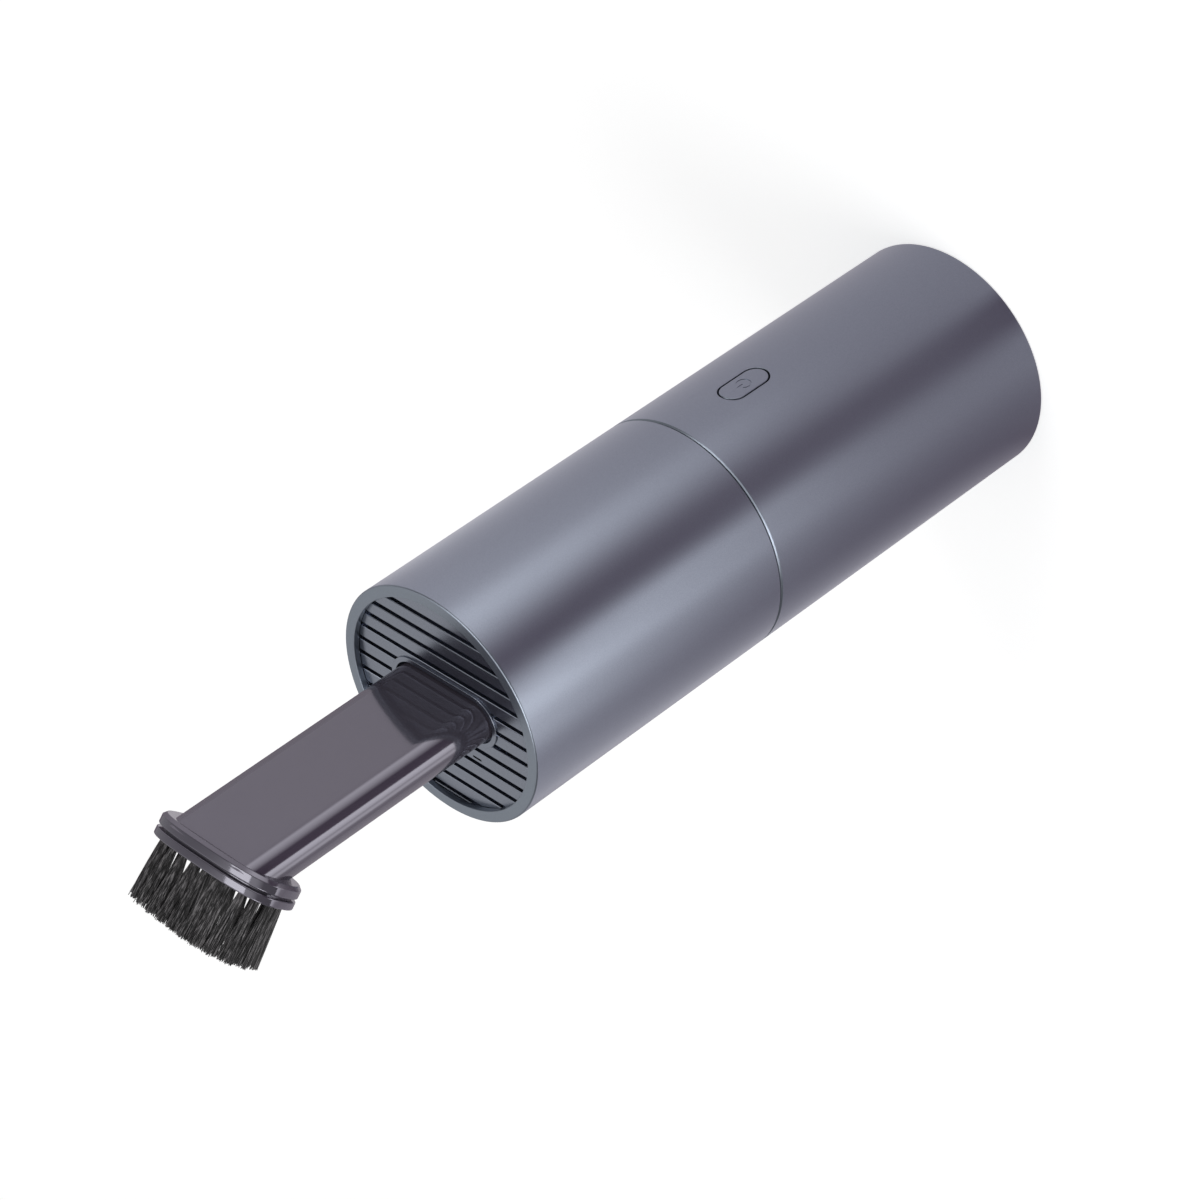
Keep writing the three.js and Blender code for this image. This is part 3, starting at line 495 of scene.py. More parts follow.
def slanted_height(y):
    """How high the head's plane is at a place across the nozzle."""
    return HEAD_Z + y * math.tan(HEAD_TILT)


# Meshes and objects

def solid_mesh(name, *parts):
    """A mesh in metres from parts in millimetres, with points in the same place made one."""
    shape = bmesh.new()
    for points, faces in parts:
        corners = [shape.verts.new(Vector(point) * MM) for point in points]
        for face in faces:
            shape.faces.new([corners[i] for i in face])
    bmesh.ops.remove_doubles(shape, verts=shape.verts, dist=MERGE_DISTANCE * MM)
    bmesh.ops.dissolve_degenerate(shape, edges=shape.edges, dist=MERGE_DISTANCE * MM)
    bmesh.ops.recalc_face_normals(shape, faces=shape.faces)
    mesh = bpy.data.meshes.new(name)
    shape.to_mesh(mesh)
    shape.free()
    return mesh


def carved(mesh, *parts):
    """The mesh with other solids cut out of it."""
    whole = placed("whole", mesh)
    cutter = placed("cutter", solid_mesh("cutter", *parts))
    cut = whole.modifiers.new("cut", "BOOLEAN")
    cut.operation = "DIFFERENCE"
    cut.solver = "EXACT"
    cut.use_self = True
    cut.object = cutter
    bpy.context.view_layer.update()
    seen = whole.evaluated_get(bpy.context.evaluated_depsgraph_get())
    made = bpy.data.meshes.new_from_object(seen)
    made.name = mesh.name
    bpy.data.objects.remove(whole)
    bpy.data.objects.remove(cutter)
    return made


def joined(name, *meshes):
    shape = bmesh.new()
    for mesh in meshes:
        shape.from_mesh(mesh)
    made = bpy.data.meshes.new(name)
    shape.to_mesh(made)
    shape.free()
    return made


def roughened(mesh, size, depth):
    """Pushes the surface in by an uneven amount, up to the depth."""
    pushed = []
    for vert in mesh.vertices:
        level = 0.5 + 0.5 * noise.noise(vert.co / (size * MM))
        pushed.append(vert.co - vert.normal * max(0, min(1, level)) * depth * MM)
    for vert, place in zip(mesh.vertices, pushed):
        vert.co = place
    return mesh


def show(name, mesh, body, slot, node, sharp=40):
    """Puts a mesh in the scene as a finished piece that rides on its body and stands for its CAD node."""
    mesh.shade_smooth()
    mesh.set_sharp_from_angle(angle=math.radians(sharp))
    mesh.materials.clear()
    mesh.materials.append(finishes[slot])
    thing = placed(name, mesh)
    weighted = thing.modifiers.new("even_shading", "WEIGHTED_NORMAL")
    weighted.keep_sharp = True
    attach(thing, body)
    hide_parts(node)


def piece(name, body, slot, node, *parts, sharp=40):
    show(name, solid_mesh(name, *parts), body, slot, node, sharp)


# Shader helpers

def feed(tree, socket, value):
    """Links another node's output to a socket, or writes a plain value there."""
    if isinstance(value, bpy.types.NodeSocket):
        tree.links.new(value, socket)
    else:
        socket.default_value = value


def add_node(tree, kind, settings=None, **inputs):
    made = tree.nodes.new(kind)
    for key, value in (settings or {}).items():
        setattr(made, key, value)
    for key, value in inputs.items():
        feed(tree, made.inputs[key.replace("_", " ")], value)
    return made


def math_node(tree, operation, *values):
    made = add_node(tree, "ShaderNodeMath", {"operation": operation})
    for socket, value in zip(made.inputs, values):
        feed(tree, socket, value)
    return made.outputs[0]


def mixed(tree, share, first, second):
    mix = add_node(tree, "ShaderNodeMix", {"data_type": "RGBA"}, Factor=share)
    feed(tree, mix.inputs[6], first)
    feed(tree, mix.inputs[7], second)
    return mix.outputs[2]


def ramp(tree, share, stops):
    """A colour ramp with a (position, colour) pair for each of its stops."""
    made = add_node(tree, "ShaderNodeValToRGB", Fac=share)
    marks = made.color_ramp.elements
    while len(marks) < len(stops):
        marks.new(0.5)
    for mark, (position, color) in zip(marks, stops):
        mark.position = position
        mark.color = (*color, 1)
    return made.outputs["Color"]


def texture_scale(tree, size):
    """The scale at which a texture's cells are as large as a size in millimetres."""
    return math_node(tree, "DIVIDE", 1 / MM, size)


def swayed(tree, level, amount, base):
    """The base, moved by half the amount at most: down at level 0 and up at level 1."""
    centred = math_node(tree, "SUBTRACT", level, 0.5)
    return math_node(tree, "ADD", math_node(tree, "MULTIPLY", centred, amount), base)


def object_place(tree):
    return add_node(tree, "ShaderNodeTexCoord").outputs["Object"]


def new_group(name, inputs, outputs):
    """An empty node group with sockets of the given kinds, and its own input and output sockets."""
    tree = bpy.data.node_groups.new(name, "ShaderNodeTree")
    for way, sockets in (("INPUT", inputs), ("OUTPUT", outputs)):
        for socket, kind in sockets.items():
            tree.interface.new_socket(name=socket, in_out=way, socket_type=f"NodeSocket{kind}")
    return tree, add_node(tree, "NodeGroupInput").outputs, add_node(tree, "NodeGroupOutput").inputs


def grain_group():
    """Fine moulded or sprayed grain: a height for the bump and a soft shade over larger patches."""
    sizes = {"Grain Size": "Float", "Patch Size": "Float"}
    tree, given, out = new_group("surface_grain", sizes, {"Height": "Float", "Shade": "Float"})
    place = object_place(tree)
    grain_scale = texture_scale(tree, given["Grain Size"])
    patch_scale = texture_scale(tree, given["Patch Size"])
    grain = add_node(tree, "ShaderNodeTexNoise", Vector=place, Scale=grain_scale, Detail=3.0, Roughness=0.6)
    patches = add_node(tree, "ShaderNodeTexNoise", Vector=place, Scale=patch_scale, Detail=4.0)
    tree.links.new(grain.outputs["Fac"], out["Height"])
    tree.links.new(patches.outputs["Fac"], out["Shade"])
    return tree


def flake_group():
    """Metal flakes in paint: each one is a small cell that is a little lighter or darker."""
    paint = {"Color": "Color", "Flake Size": "Float", "Contrast": "Float"}
    tree, given, out = new_group("metal_flake", paint, {"Color": "Color"})
    place = object_place(tree)
    scale = texture_scale(tree, given["Flake Size"])
    cells = add_node(tree, "ShaderNodeTexVoronoi", Vector=place, Scale=scale)
    level = add_node(tree, "ShaderNodeSeparateColor", Color=cells.outputs["Color"]).outputs["Red"]
    value = swayed(tree, level, given["Contrast"], 1.0)
    tinted = add_node(tree, "ShaderNodeHueSaturation", Color=given["Color"], Value=value)
    tree.links.new(tinted.outputs["Color"], out["Color"])
    return tree


def handling_group():
    """Faint smears and rub marks from handling, as a change of roughness."""
    marks = {"Roughness": "Float", "Amount": "Float", "Mark Size": "Float"}
    tree, given, out = new_group("handling_marks", marks, {"Roughness": "Float"})
    place = object_place(tree)
    scale = texture_scale(tree, given["Mark Size"])
    smears = add_node(tree, "ShaderNodeTexNoise", Vector=place, Scale=scale, Detail=6.0, Distortion=0.8)
    rubbed = swayed(tree, smears.outputs["Fac"], given["Amount"], given["Roughness"])
    tree.links.new(rubbed, out["Roughness"])
    return tree


groups = {
    "grain": grain_group(),
    "flake": flake_group(),
    "handling": handling_group(),
}


def new_finish(name):
    material = bpy.data.materials.new(name)
    material.use_nodes = True
    tree = material.node_tree
    return material, tree, tree.nodes["Principled BSDF"]


def use_group(tree, name, **inputs):
    return add_node(tree, "ShaderNodeGroup", {"node_tree": groups[name]}, **inputs).outputs


def add_bump(tree, shader, height, strength, distance):
    bump = add_node(tree, "ShaderNodeBump", Strength=strength, Distance=distance * MM, Height=height)
    tree.links.new(bump.outputs["Normal"], shader.inputs["Normal"])


def flaked_paint(name, color, roughness, metallic):
    material, tree, shader = new_finish(name)
    shader.inputs["Metallic"].default_value = metallic
    flakes = use_group(tree, "flake", Color=(*color, 1), Flake_Size=0.15, Contrast=0.12)
    marks = use_group(tree, "handling", Roughness=roughness, Amount=0.05, Mark_Size=25.0)
    grain = use_group(tree, "grain", Grain_Size=0.25, Patch_Size=15.0)
    tree.links.new(flakes["Color"], shader.inputs["Base Color"])
    tree.links.new(marks["Roughness"], shader.inputs["Roughness"])
    add_bump(tree, shader, grain["Height"], strength=0.25, distance=0.01)
    return material


def shaded_finish(name, dark, light, roughness, grain, bump, patch=12.0, marks=0.08, **constants):
    """A plain moulded finish: two close tones in soft patches, a fine grain and handling marks."""
    material, tree, shader = new_finish(name)
    for key, value in constants.items():
        shader.inputs[key.replace("_", " ")].default_value = value
    grain = use_group(tree, "grain", Grain_Size=grain, Patch_Size=patch)
    tree.links.new(mixed(tree, grain["Shade"], (*dark, 1), (*light, 1)), shader.inputs["Base Color"])
    rubbed = use_group(tree, "handling", Roughness=roughness, Amount=marks, Mark_Size=patch)
    tree.links.new(rubbed["Roughness"], shader.inputs["Roughness"])
    add_bump(tree, shader, grain["Height"], strength=0.4, distance=bump)
    return material


STREAK_STRETCH = 0.06
STREAKS_PER_MM = 2.4


def bristle_finish(name):
    """Black bristles of mixed tone: streaks that run along the bristles, a few of them grey and glossy, where
    the grey is painted sheen.
    """
    material, tree, shader = new_finish(name)
    place = object_place(tree)
    along = add_node(tree, "ShaderNodeMapping", Vector=place, Rotation=(-HEAD_TILT, 0, 0))
    squeezed = add_node(tree, "ShaderNodeMapping", Vector=along.outputs[0], Scale=(1, 1, STREAK_STRETCH))
    streaks = add_node(tree, "ShaderNodeTexNoise", Vector=squeezed.outputs[0], Scale=STREAKS_PER_MM / MM,
                       Detail=3.0, Roughness=0.7)
    # Near black, dark grey, and a lighter grey that is painted sheen along the bristles.
    tones = [(0.38, (0.006, 0.006, 0.006)), (0.5, (0.045, 0.043, 0.045)), (0.62, (0.24, 0.228, 0.236))]
    tree.links.new(ramp(tree, streaks.outputs["Fac"], tones), shader.inputs["Base Color"])
    marks = use_group(tree, "handling", Roughness=0.42, Amount=0.15, Mark_Size=2.0)
    tree.links.new(marks["Roughness"], shader.inputs["Roughness"])
    add_bump(tree, shader, streaks.outputs["Fac"], strength=0.3, distance=0.02)
    return material


finishes = {
    "slate_paint": flaked_paint("slate_paint", (0.322, 0.36, 0.42), roughness=0.33, metallic=0.95),
    "grille_paint": flaked_paint("grille_paint", (0.335, 0.36, 0.425), roughness=0.26, metallic=1.0),
    "black_bristle": bristle_finish("black_bristle"),
}
MOULDED = {
    "gloss_charcoal": {
        "dark": (0.06, 0.054, 0.07), "light": (0.074, 0.066, 0.086), "roughness": 0.09, "grain": 0.9,
        "bump": 0.002, "marks": 0.04, "IOR": 2.25, "Specular_Tint": (0.9, 0.885, 1.0, 1),
    },
    "black_plastic": {
        "dark": (0.010, 0.010, 0.012), "light": (0.016, 0.016, 0.018), "roughness": 0.5, "grain": 0.3,
        "bump": 0.02,
    },
    "grey_plastic": {
        "dark": (0.14, 0.15, 0.16), "light": (0.16, 0.17, 0.18), "roughness": 0.5, "grain": 0.3, "bump": 0.02,
    },
    "black_rubber": {
        "dark": (0.007, 0.007, 0.008), "light": (0.011, 0.011, 0.012), "roughness": 0.75, "grain": 0.2,
        "bump": 0.03,
    },
    "steel": {
        "dark": (0.43, 0.44, 0.46), "light": (0.49, 0.5, 0.52), "roughness": 0.28, "grain": 0.15,
        "bump": 0.004, "Metallic": 1.0,
    },
    "copper_windings": {
        "dark": (0.38, 0.12, 0.04), "light": (0.48, 0.16, 0.05), "roughness": 0.35, "grain": 0.5,
        "bump": 0.05, "Metallic": 1.0,
    },
    "cell_wrap": {
        "dark": (0.024, 0.1, 0.26), "light": (0.03, 0.115, 0.29), "roughness": 0.35, "grain": 0.8,
        "bump": 0.01,
    },
    "green_board": {
        "dark": (0.012, 0.09, 0.038), "light": (0.016, 0.114, 0.046), "roughness": 0.4, "grain": 0.6,
        "bump": 0.02,
    },
    "filter_paper": {
        "dark": (0.74, 0.73, 0.67), "light": (0.84, 0.83, 0.78), "roughness": 0.9, "grain": 0.12,
        "bump": 0.05, "patch": 3.0,
    },
    "grey_foam": {
        "dark": (0.03, 0.032, 0.035), "light": (0.06, 0.064, 0.07), "roughness": 0.95, "grain": 0.5,
        "bump": 0.3, "patch": 1.0,
    },
}
for name, looks in MOULDED.items():
    finishes[name] = shaded_finish(name, **looks)


# Rear shell and the button in its side

PATCH_COLUMNS = 9
PATCH_ROWS = 24
PATCH_HALF_HEIGHT = 13


def wrapped(u, height, depth):
    """A point at a depth under the shell's outer face, u along its curve from the button's middle."""
    angle = math.pi / 2 - u / BODY_RADIUS
    radius = BODY_RADIUS - depth
    return radius * math.cos(angle), radius * math.sin(angle), height


def patch_border():
    """The patch's edge as (u, height from the button's middle), on the shell's own columns and rows."""
    column = math.tau * BODY_RADIUS / BODY_SIDES
    half = PATCH_COLUMNS * column
    row = 2 * PATCH_HALF_HEIGHT / PATCH_ROWS
    up = [(half, -PATCH_HALF_HEIGHT + row * i) for i in range(PATCH_ROWS)]
    across = [(half - column * i, PATCH_HALF_HEIGHT) for i in range(2 * PATCH_COLUMNS)]
    return up + across + [(-u, -v) for u, v in up + across]


def capsule_point(u, v, reach):
    """The point at a reach from the button's middle line, in the direction of (u, v)."""
    arm = BUTTON_HALF_LENGTH - BUTTON_HALF_WIDTH
    foot = max(-arm, min(arm, v))
    away = Vector((u, v - foot)).normalized() * reach
    return away.x, foot + away.y


def capsule_ring(reach, depth):
    ring = [capsule_point(u, v, reach) for u, v in patch_border()]
    return [wrapped(u, BUTTON_Z + v, depth) for u, v in ring]


def fillet_steps(fillet):
    """A rounded edge as (distance from the wall, depth under the face), from the face to the wall."""
    angles = spaced(0, math.pi / 2, FILLET_STEPS)
    return [(fillet * (1 - math.sin(angle)), fillet * (1 - math.cos(angle))) for angle in angles]


def shell_round_button():
    """The shell's patch round the button's hole, from the outer face through the hole to the bore."""
    hole = BUTTON_HALF_WIDTH + BUTTON_GAP
    border = patch_border()
    rings = [[wrapped(u, BUTTON_Z + v, 0) for u, v in border]]
    rings += [capsule_ring(hole + extra, 0) for extra in BUTTON_HOLE_RINGS]
    rings += [capsule_ring(hole + offset, depth) for offset, depth in fillet_steps(CRISP_EDGE)]
    rings += [capsule_ring(hole + extra, SHELL_WALL) for extra in (0, BUTTON_HOLE_RINGS[1])]
    rings.append([wrapped(u, BUTTON_Z + v, SHELL_WALL) for u, v in border])
    return loft(rings, closed=False)


def rear_shell():
    """The body's rear half: a spun shell without the faces where the patch round the button goes."""
    rows = spaced(BUTTON_Z - PATCH_HALF_HEIGHT, BUTTON_Z + PATCH_HALF_HEIGHT, PATCH_ROWS)
    outside = softened([
        (SHELL_BORE, 0), (BODY_RADIUS, 0, ROUND_EDGE), (BODY_RADIUS, SHELL_TOP - SEAM_CHAMFER, SHARP_EDGE),
        (BODY_RADIUS - SEAM_CHAMFER, SHELL_TOP, SHARP_EDGE), (SHELL_BORE, SHELL_TOP),
    ])
    corner = next(i for i, (radius, height) in enumerate(outside) if height > rows[-1])
    outline = outside[:corner] + [(BODY_RADIUS, z) for z in rows] + outside[corner:]
    outline += [(SHELL_BORE, z) for z in reversed(rows)]
    points, faces = spun(outline)
    quarter = BODY_SIDES // 4
    kept = []
    for face in faces:
        columns = [i % BODY_SIDES for i in face]
        levels = [points[i][2] for i in face]
        beside = min(columns) >= quarter - PATCH_COLUMNS and max(columns) <= quarter + PATCH_COLUMNS
        level = min(levels) > rows[0] - SHARP_EDGE and max(levels) < rows[-1] + SHARP_EDGE
        if not (beside and level):
            kept.append(face)
    parts = map(in_rear, [(points, kept), shell_round_button()])
    piece("rear_shell", "motor_body", "slate_paint", "main_shell", *parts)


def button_cap():
    """The button with the flange that holds it behind the shell, and the symbol carved into its face."""
    wall = BUTTON_HALF_WIDTH
    rim = wall + BUTTON_FLANGE
    rings = [capsule_ring(wall * share, 0) for share in BUTTON_FACE_RINGS]
    rings += [capsule_ring(wall - offset, depth) for offset, depth in fillet_steps(BUTTON_FILLET)]
    rings += [capsule_ring(reach, BUTTON_FLANGE_DEPTH) for reach in (wall, rim)]
    rings += [capsule_ring(reach, BUTTON_BACK_DEPTH) for reach in (rim, BUTTON_FACE_RINGS[0])]
    mesh = carved(solid_mesh("button_cap", in_rear(loft(rings))), *map(in_rear, power_symbol()))
    show("button_cap", mesh, "button", "slate_paint", "power_button")


def power_symbol():
    """The groove of the power symbol: a broken ring, and a bar in its gap."""
    half = SYMBOL_LINE / 2
    depths = [(-CUT_OVERRUN, -half), (-CUT_OVERRUN, half), (SYMBOL_DEPTH, half), (SYMBOL_DEPTH, -half)]
    start = (math.pi + SYMBOL_GAP) / 2
    ring = []
    for angle in spaced(start, start + math.tau - SYMBOL_GAP, SYMBOL_STEPS):
        across = Vector((math.cos(angle), math.sin(angle)))
        section = [(across * (SYMBOL_RADIUS + side), depth) for depth, side in depths]
        ring.append([wrapped(place.x, BUTTON_Z + place.y, depth) for place, depth in section])
    bar = []
    for share in SYMBOL_BAR:
        bar.append([wrapped(side, BUTTON_Z + SYMBOL_RADIUS * share, depth) for depth, side in depths])
    return capped(ring), capped(bar)


# Rear cap, its screws, the foam behind its slots and the charging socket

def rear_cap_face():
    """The cap's disc and skirt, with exhaust slots, a socket hole, and screw bosses behind their recesses."""
    top = CAP_THICKNESS + CAP_SKIRT
    inner = LINER - CAP_SKIRT_WALL
    disc = turned([
        (0, 0), (LINER, 0, CAP_EDGE), (LINER, top, FINE_EDGE), (inner, top, FINE_EDGE),
        (inner, CAP_THICKNESS), (0, CAP_THICKNESS),
    ])
    socket_hole = obround(SOCKET_HALF_LENGTH + GAP, SOCKET_HALF_WIDTH + GAP)
    slot = obround((EXHAUST_OUTER - EXHAUST_INNER) / 2, EXHAUST_WIDTH / 2, steps=8, straights=2)
    slot = moved(funnel(slot, 0, top, HOLE_FLARE), ((EXHAUST_INNER + EXHAUST_OUTER) / 2, 0, 0))
    places = [i for i in range(EXHAUST_PLACES) if i % (EXHAUST_PLACES // SCREWS)]
    slots = [moved(slot, turn=math.pi / 2 + math.tau * i / EXHAUST_PLACES) for i in places]
    holes = [in_rear(hole) for hole in [funnel(socket_hole, 0, top, SOFT_EDGE), *slots]]
    recess = funnel(circle(SCREW_HEAD_RADIUS + GAP, SMALL_SIDES), 0, SCREW_RECESS, HOLE_FLARE)
    foot = CAP_THICKNESS - BOSS_SINK
    bosses = []
    for node in cap_screws():
        holes.append(moved(recess, (*middle(node), 0), -REAR_TURN))
        bosses.append(turned([
            (SCREW_RADIUS + GAP, foot), (BOSS_RADIUS, foot), (BOSS_RADIUS, BOSS_TOP, FINE_EDGE),
            (SCREW_RADIUS + GAP, BOSS_TOP),
        ], SMALL_SIDES, middle(node)))
    face = carved(solid_mesh("cap_disc", in_rear(disc)), *holes)
    mesh = joined("rear_cap_face", face, solid_mesh("cap_bosses", *bosses))
    show("rear_cap_face", mesh, "motor_body", "slate_paint", "rear_cap")


def cap_screws():
    return [f"rear_cap_screw_{i + 1}" for i in range(SCREWS)]


def cross_screw(name, node, head_at_bottom=True):
    """A cross-head screw where the frame has it, whose height also sets the angle its cross is left at."""
    low, high = heights(node)
    head = low if head_at_bottom else high
    tip = high if head_at_bottom else low
    inwards = 1 if head_at_bottom else -1
    under_head = head + inwards * SCREW_HEAD_HEIGHT
    body = turned([
        (0, head), (SCREW_HEAD_RADIUS, head, ROUND_EDGE), (SCREW_HEAD_RADIUS, under_head, CRISP_EDGE),
        (SCREW_RADIUS, under_head), (SCREW_RADIUS, tip, SCREW_TIP_EDGE), (0, tip),
    ], SMALL_SIDES, middle(node))
    half = SCREW_RADIUS
    wing = SCREW_DRIVE / 2
    bar = [(-half, -wing), (half, -wing), (half, wing), (-half, wing)]
    drive = plate(bar, head - SCREW_DRIVE_DEPTH, head + SCREW_DRIVE_DEPTH)
    cuts = [moved(drive, (*middle(node), 0), turn + low) for turn in (0, math.pi / 2)]
    show(name, carved(solid_mesh(name, body), *cuts), "motor_body", "steel", node)


def all_screws():
    for i, node in enumerate(cap_screws()):
        cross_screw(f"cap_screw_{i + 1}", node)
    for i in range(SCREWS):
        cross_screw(f"plate_screw_{i + 1}", f"motor_screw_{i + 1}", head_at_bottom=False)


def charging_socket():
    low, high = heights("usb_socket")
    floor = high - 2 * SOCKET_WALL
    outline = obround(SOCKET_HALF_LENGTH, SOCKET_HALF_WIDTH)
    shell = banded(outline, [
        (0, low, SOCKET_EDGE), (0, high, SOCKET_EDGE), (SOCKET_WALL, high), (SOCKET_WALL, low, SOCKET_EDGE),
    ])
    back = plate(outline(SOCKET_WALL / 2), floor, high - SOCKET_BACK_SINK)
    slab = obround(TONGUE_HALF_LENGTH, TONGUE_HALF_WIDTH)
    tongue = plate(slab(), low + SOCKET_WALL, floor + SOCKET_WALL)
    piece("charging_socket", "motor_body", "steel", "usb_socket", *map(in_rear, (shell, back, tongue)))


def foam_ring():
    low, high = heights("exhaust_foam")
    inner = EXHAUST_INNER - FOAM_MARGIN
    outer = EXHAUST_OUTER + FOAM_MARGIN
    across = spaced(inner, outer, FOAM_STEPS)
    ring = spun([(radius, low) for radius in across] + [(radius, high) for radius in reversed(across)])
    below = low - CUT_OVERRUN
    above = high + CUT_OVERRUN
    hole = spun([(0, below), (BOSS_RADIUS + GAP, below), (BOSS_RADIUS + GAP, above), (0, above)], SMALL_SIDES)
    holes = [moved(hole, (*middle(node), 0)) for node in cap_screws()]
    mesh = roughened(carved(solid_mesh("foam_ring", in_rear(ring)), *holes), FOAM_CELL, FOAM_PITS)
    show("foam_ring", mesh, "motor_body", "grey_foam", "exhaust_foam", sharp=50)


# Fan, shroud and seals, which show when the dust cup is off

def fan_shroud_lid():
    """The lid over the fan, with a ledge at the seam, the cup seal's groove and the filter's seat ring."""
    inner = SPIGOT_RADIUS - SPIGOT_WALL
    seal_top = SHROUD_Z - SEAL_FROM_TOP
    seal_bottom = seal_top - SEAL_HEIGHT
    ceiling = SHROUD_Z - SHROUD_TOP
    bottom = lowest("fan_shroud").z
    top = SHROUD_Z + SEAT_RING_HEIGHT
    groove = SPIGOT_RADIUS - SEAL_DEPTH
    piece("fan_shroud_lid", "motor_body", "black_plastic", "fan_shroud", turned([
        (inner, bottom), (LINER, bottom, FINE_EDGE), (LINER, SEAM_Z - SEAM_CHAMFER, LEDGE_EDGE),
        (SPIGOT_RADIUS, SEAM_Z, LEDGE_EDGE), (SPIGOT_RADIUS, seal_bottom, CRISP_EDGE), (groove, seal_bottom),
        (groove, seal_top), (SPIGOT_RADIUS, seal_top, CRISP_EDGE), (SPIGOT_RADIUS, SHROUD_Z, SHOULDER_EDGE),
        (SEAT_RING_RADIUS, SHROUD_Z, RING_FOOT_EDGE), (SEAT_RING_RADIUS, top, ROUND_EDGE),
        (EYE_RADIUS, top, EYE_EDGE), (EYE_RADIUS, ceiling, THROAT_EDGE), (inner, ceiling, CEILING_EDGE),
    ]))


def lipped_ring(name, node, body, inner, outer, lip):
    """A rubber ring with two rounded lips on its outside."""
    low, high = heights(node)
    foot = outer - lip
    lip_height = LIP_SHARE * (high - low)
    piece(name, body, "black_rubber", node, turned([
        (inner, low, SHARP_EDGE), (foot, low, SHARP_EDGE), (outer, low + lip_height, SOFT_EDGE),
        (foot, (low + high) / 2, FINE_EDGE), (outer, high - lip_height, SOFT_EDGE), (foot, high, SHARP_EDGE),
        (inner, high, SHARP_EDGE),
    ], SEAL_SIDES), sharp=60)


def soft_rings():
    inner = SPIGOT_RADIUS - SEAL_DEPTH + GAP
    lipped_ring("cup_seal_ring", "cup_seal", "motor_body", inner, SHELL_BORE - SEAT_GAP, CUP_SEAL_LIP)
    inner = SEAT_RING_RADIUS + GAP
    outer = inner + FILTER_SEAL_WIDTH
    lipped_ring("filter_seal_ring", "filter_seal", "filter", inner, outer, FILTER_SEAL_LIP)


def blade_outline():
    """The outline of a swept blade, from the hub out and back."""
    radii = spaced(FAN_HUB, FAN_RADIUS - BLADE_INSET, BLADE_STEPS)
    sweeps = spaced(0, BLADE_SWEEP, BLADE_STEPS)
    sides = []
    for offset in (-BLADE_THICKNESS / 2, BLADE_THICKNESS / 2):
        angles = [offset / radius - sweep for radius, sweep in zip(radii, sweeps)]
        sides.append([(r * math.cos(angle), r * math.sin(angle)) for r, angle in zip(radii, angles)])
    return sides[0] + sides[1][::-1]


def fan_wheel():
    low, high = heights("impeller")
    hub = FAN_HUB + BLADE_THICKNESS
    wheel = turned([
        (0, low), (FAN_RADIUS, low, SOFT_EDGE), (FAN_RADIUS, low + FAN_PLATE, SOFT_EDGE),
        (hub, low + FAN_PLATE, FAN_ROOT_EDGE), (hub, high, FAN_ROOT_EDGE), (0, high),
    ])
    blade = plate(blade_outline(), low + FAN_PLATE / 2, high, FINE_EDGE)
    blades = [moved(blade, turn=math.tau * i / FAN_BLADES) for i in range(FAN_BLADES)]
    piece("fan_wheel", "fan", "grey_plastic", "impeller", *map(in_rear, [wheel, *blades]))


# The filter's pieces

def filter_cage():
    """A base ring and a hoop, with upright ribs between them."""
    low, high = heights("filter_frame")
    base_top = lowest("filter_pleats").z - SEAT_GAP
    inner = SEAT_RING_RADIUS + GAP
    hoop_inner = FILTER_RADIUS - RIB_DEPTH
    base = turned([
        (inner, low, SOFT_EDGE), (FILTER_RADIUS, low, ROUND_EDGE), (FILTER_RADIUS, base_top, ROUND_EDGE),
        (inner, base_top, SOFT_EDGE),
    ])
    hoop = turned([
        (hoop_inner, high - HOOP_HEIGHT, SOFT_EDGE), (FILTER_RADIUS, high - HOOP_HEIGHT, SOFT_EDGE),
        (FILTER_RADIUS, high, SOFT_EDGE), (hoop_inner, high, SOFT_EDGE),
    ])
    half = RIB_WIDTH / 2
    outer = math.sqrt(FILTER_RADIUS ** 2 - half ** 2)
    section = softened([
        (hoop_inner, -half, SOFT_EDGE), (outer, -half, SOFT_EDGE), (outer, half, SOFT_EDGE),
        (hoop_inner, half, SOFT_EDGE),
    ])
    rib = plate(section, low + ROUND_EDGE, high - SOFT_EDGE)
    ribs = [moved(rib, turn=math.tau * i / FILTER_RIBS) for i in range(FILTER_RIBS)]
    piece("filter_cage", "filter", "black_plastic", "filter_frame", base, hoop, *ribs)


def pleat_ring(height, inwards):
    """One level of the folded paper: its folds lean a little to either side."""
    points = []
    first = math.acos(FOLD_SHARPNESS)
    steps = PLEAT_STEPS * PLEATS
    for i in range(steps):
        angle = math.tau * i / steps
        fold = math.acos(FOLD_SHARPNESS * math.cos(PLEATS * angle))
        share = (fold - first) / (math.pi - 2 * first)
        radius = PLEAT_OUTER - inwards - PLEAT_DEPTH * share
        spot = Vector((PLEATS * angle / math.pi, height * LEAN_CHANGE, PLEAT_CHANCE))
        lean = FOLD_LEAN * noise.noise(spot)
        points.append((radius * math.cos(angle + lean), radius * math.sin(angle + lean), height))
    return points


def paper_pleats():
    low, high = heights("filter_pleats")
    levels = spaced(low, high, PLEAT_LEVELS)
    rings = [pleat_ring(height, 0) for height in levels]
    rings += [pleat_ring(height, PLEAT_BAND) for height in reversed(levels)]
    piece("paper_pleats", "filter", "filter_paper", "filter_pleats", loft(rings), sharp=50)


def filter_lid():
    low, high = heights("filter_cap")
    dish = high - LID_DISH
    piece("filter_lid", "filter", "black_plastic", "filter_cap", turned([
        (0, low), (FILTER_RADIUS, low, SOFT_EDGE), (FILTER_RADIUS, high, LID_EDGE),
        (FILTER_RADIUS * LID_RIM, high, DISH_EDGE), (FILTER_RADIUS * LID_FLOOR, dish, DISH_EDGE), (0, dish),
    ]))


# Dust cup: the front shell

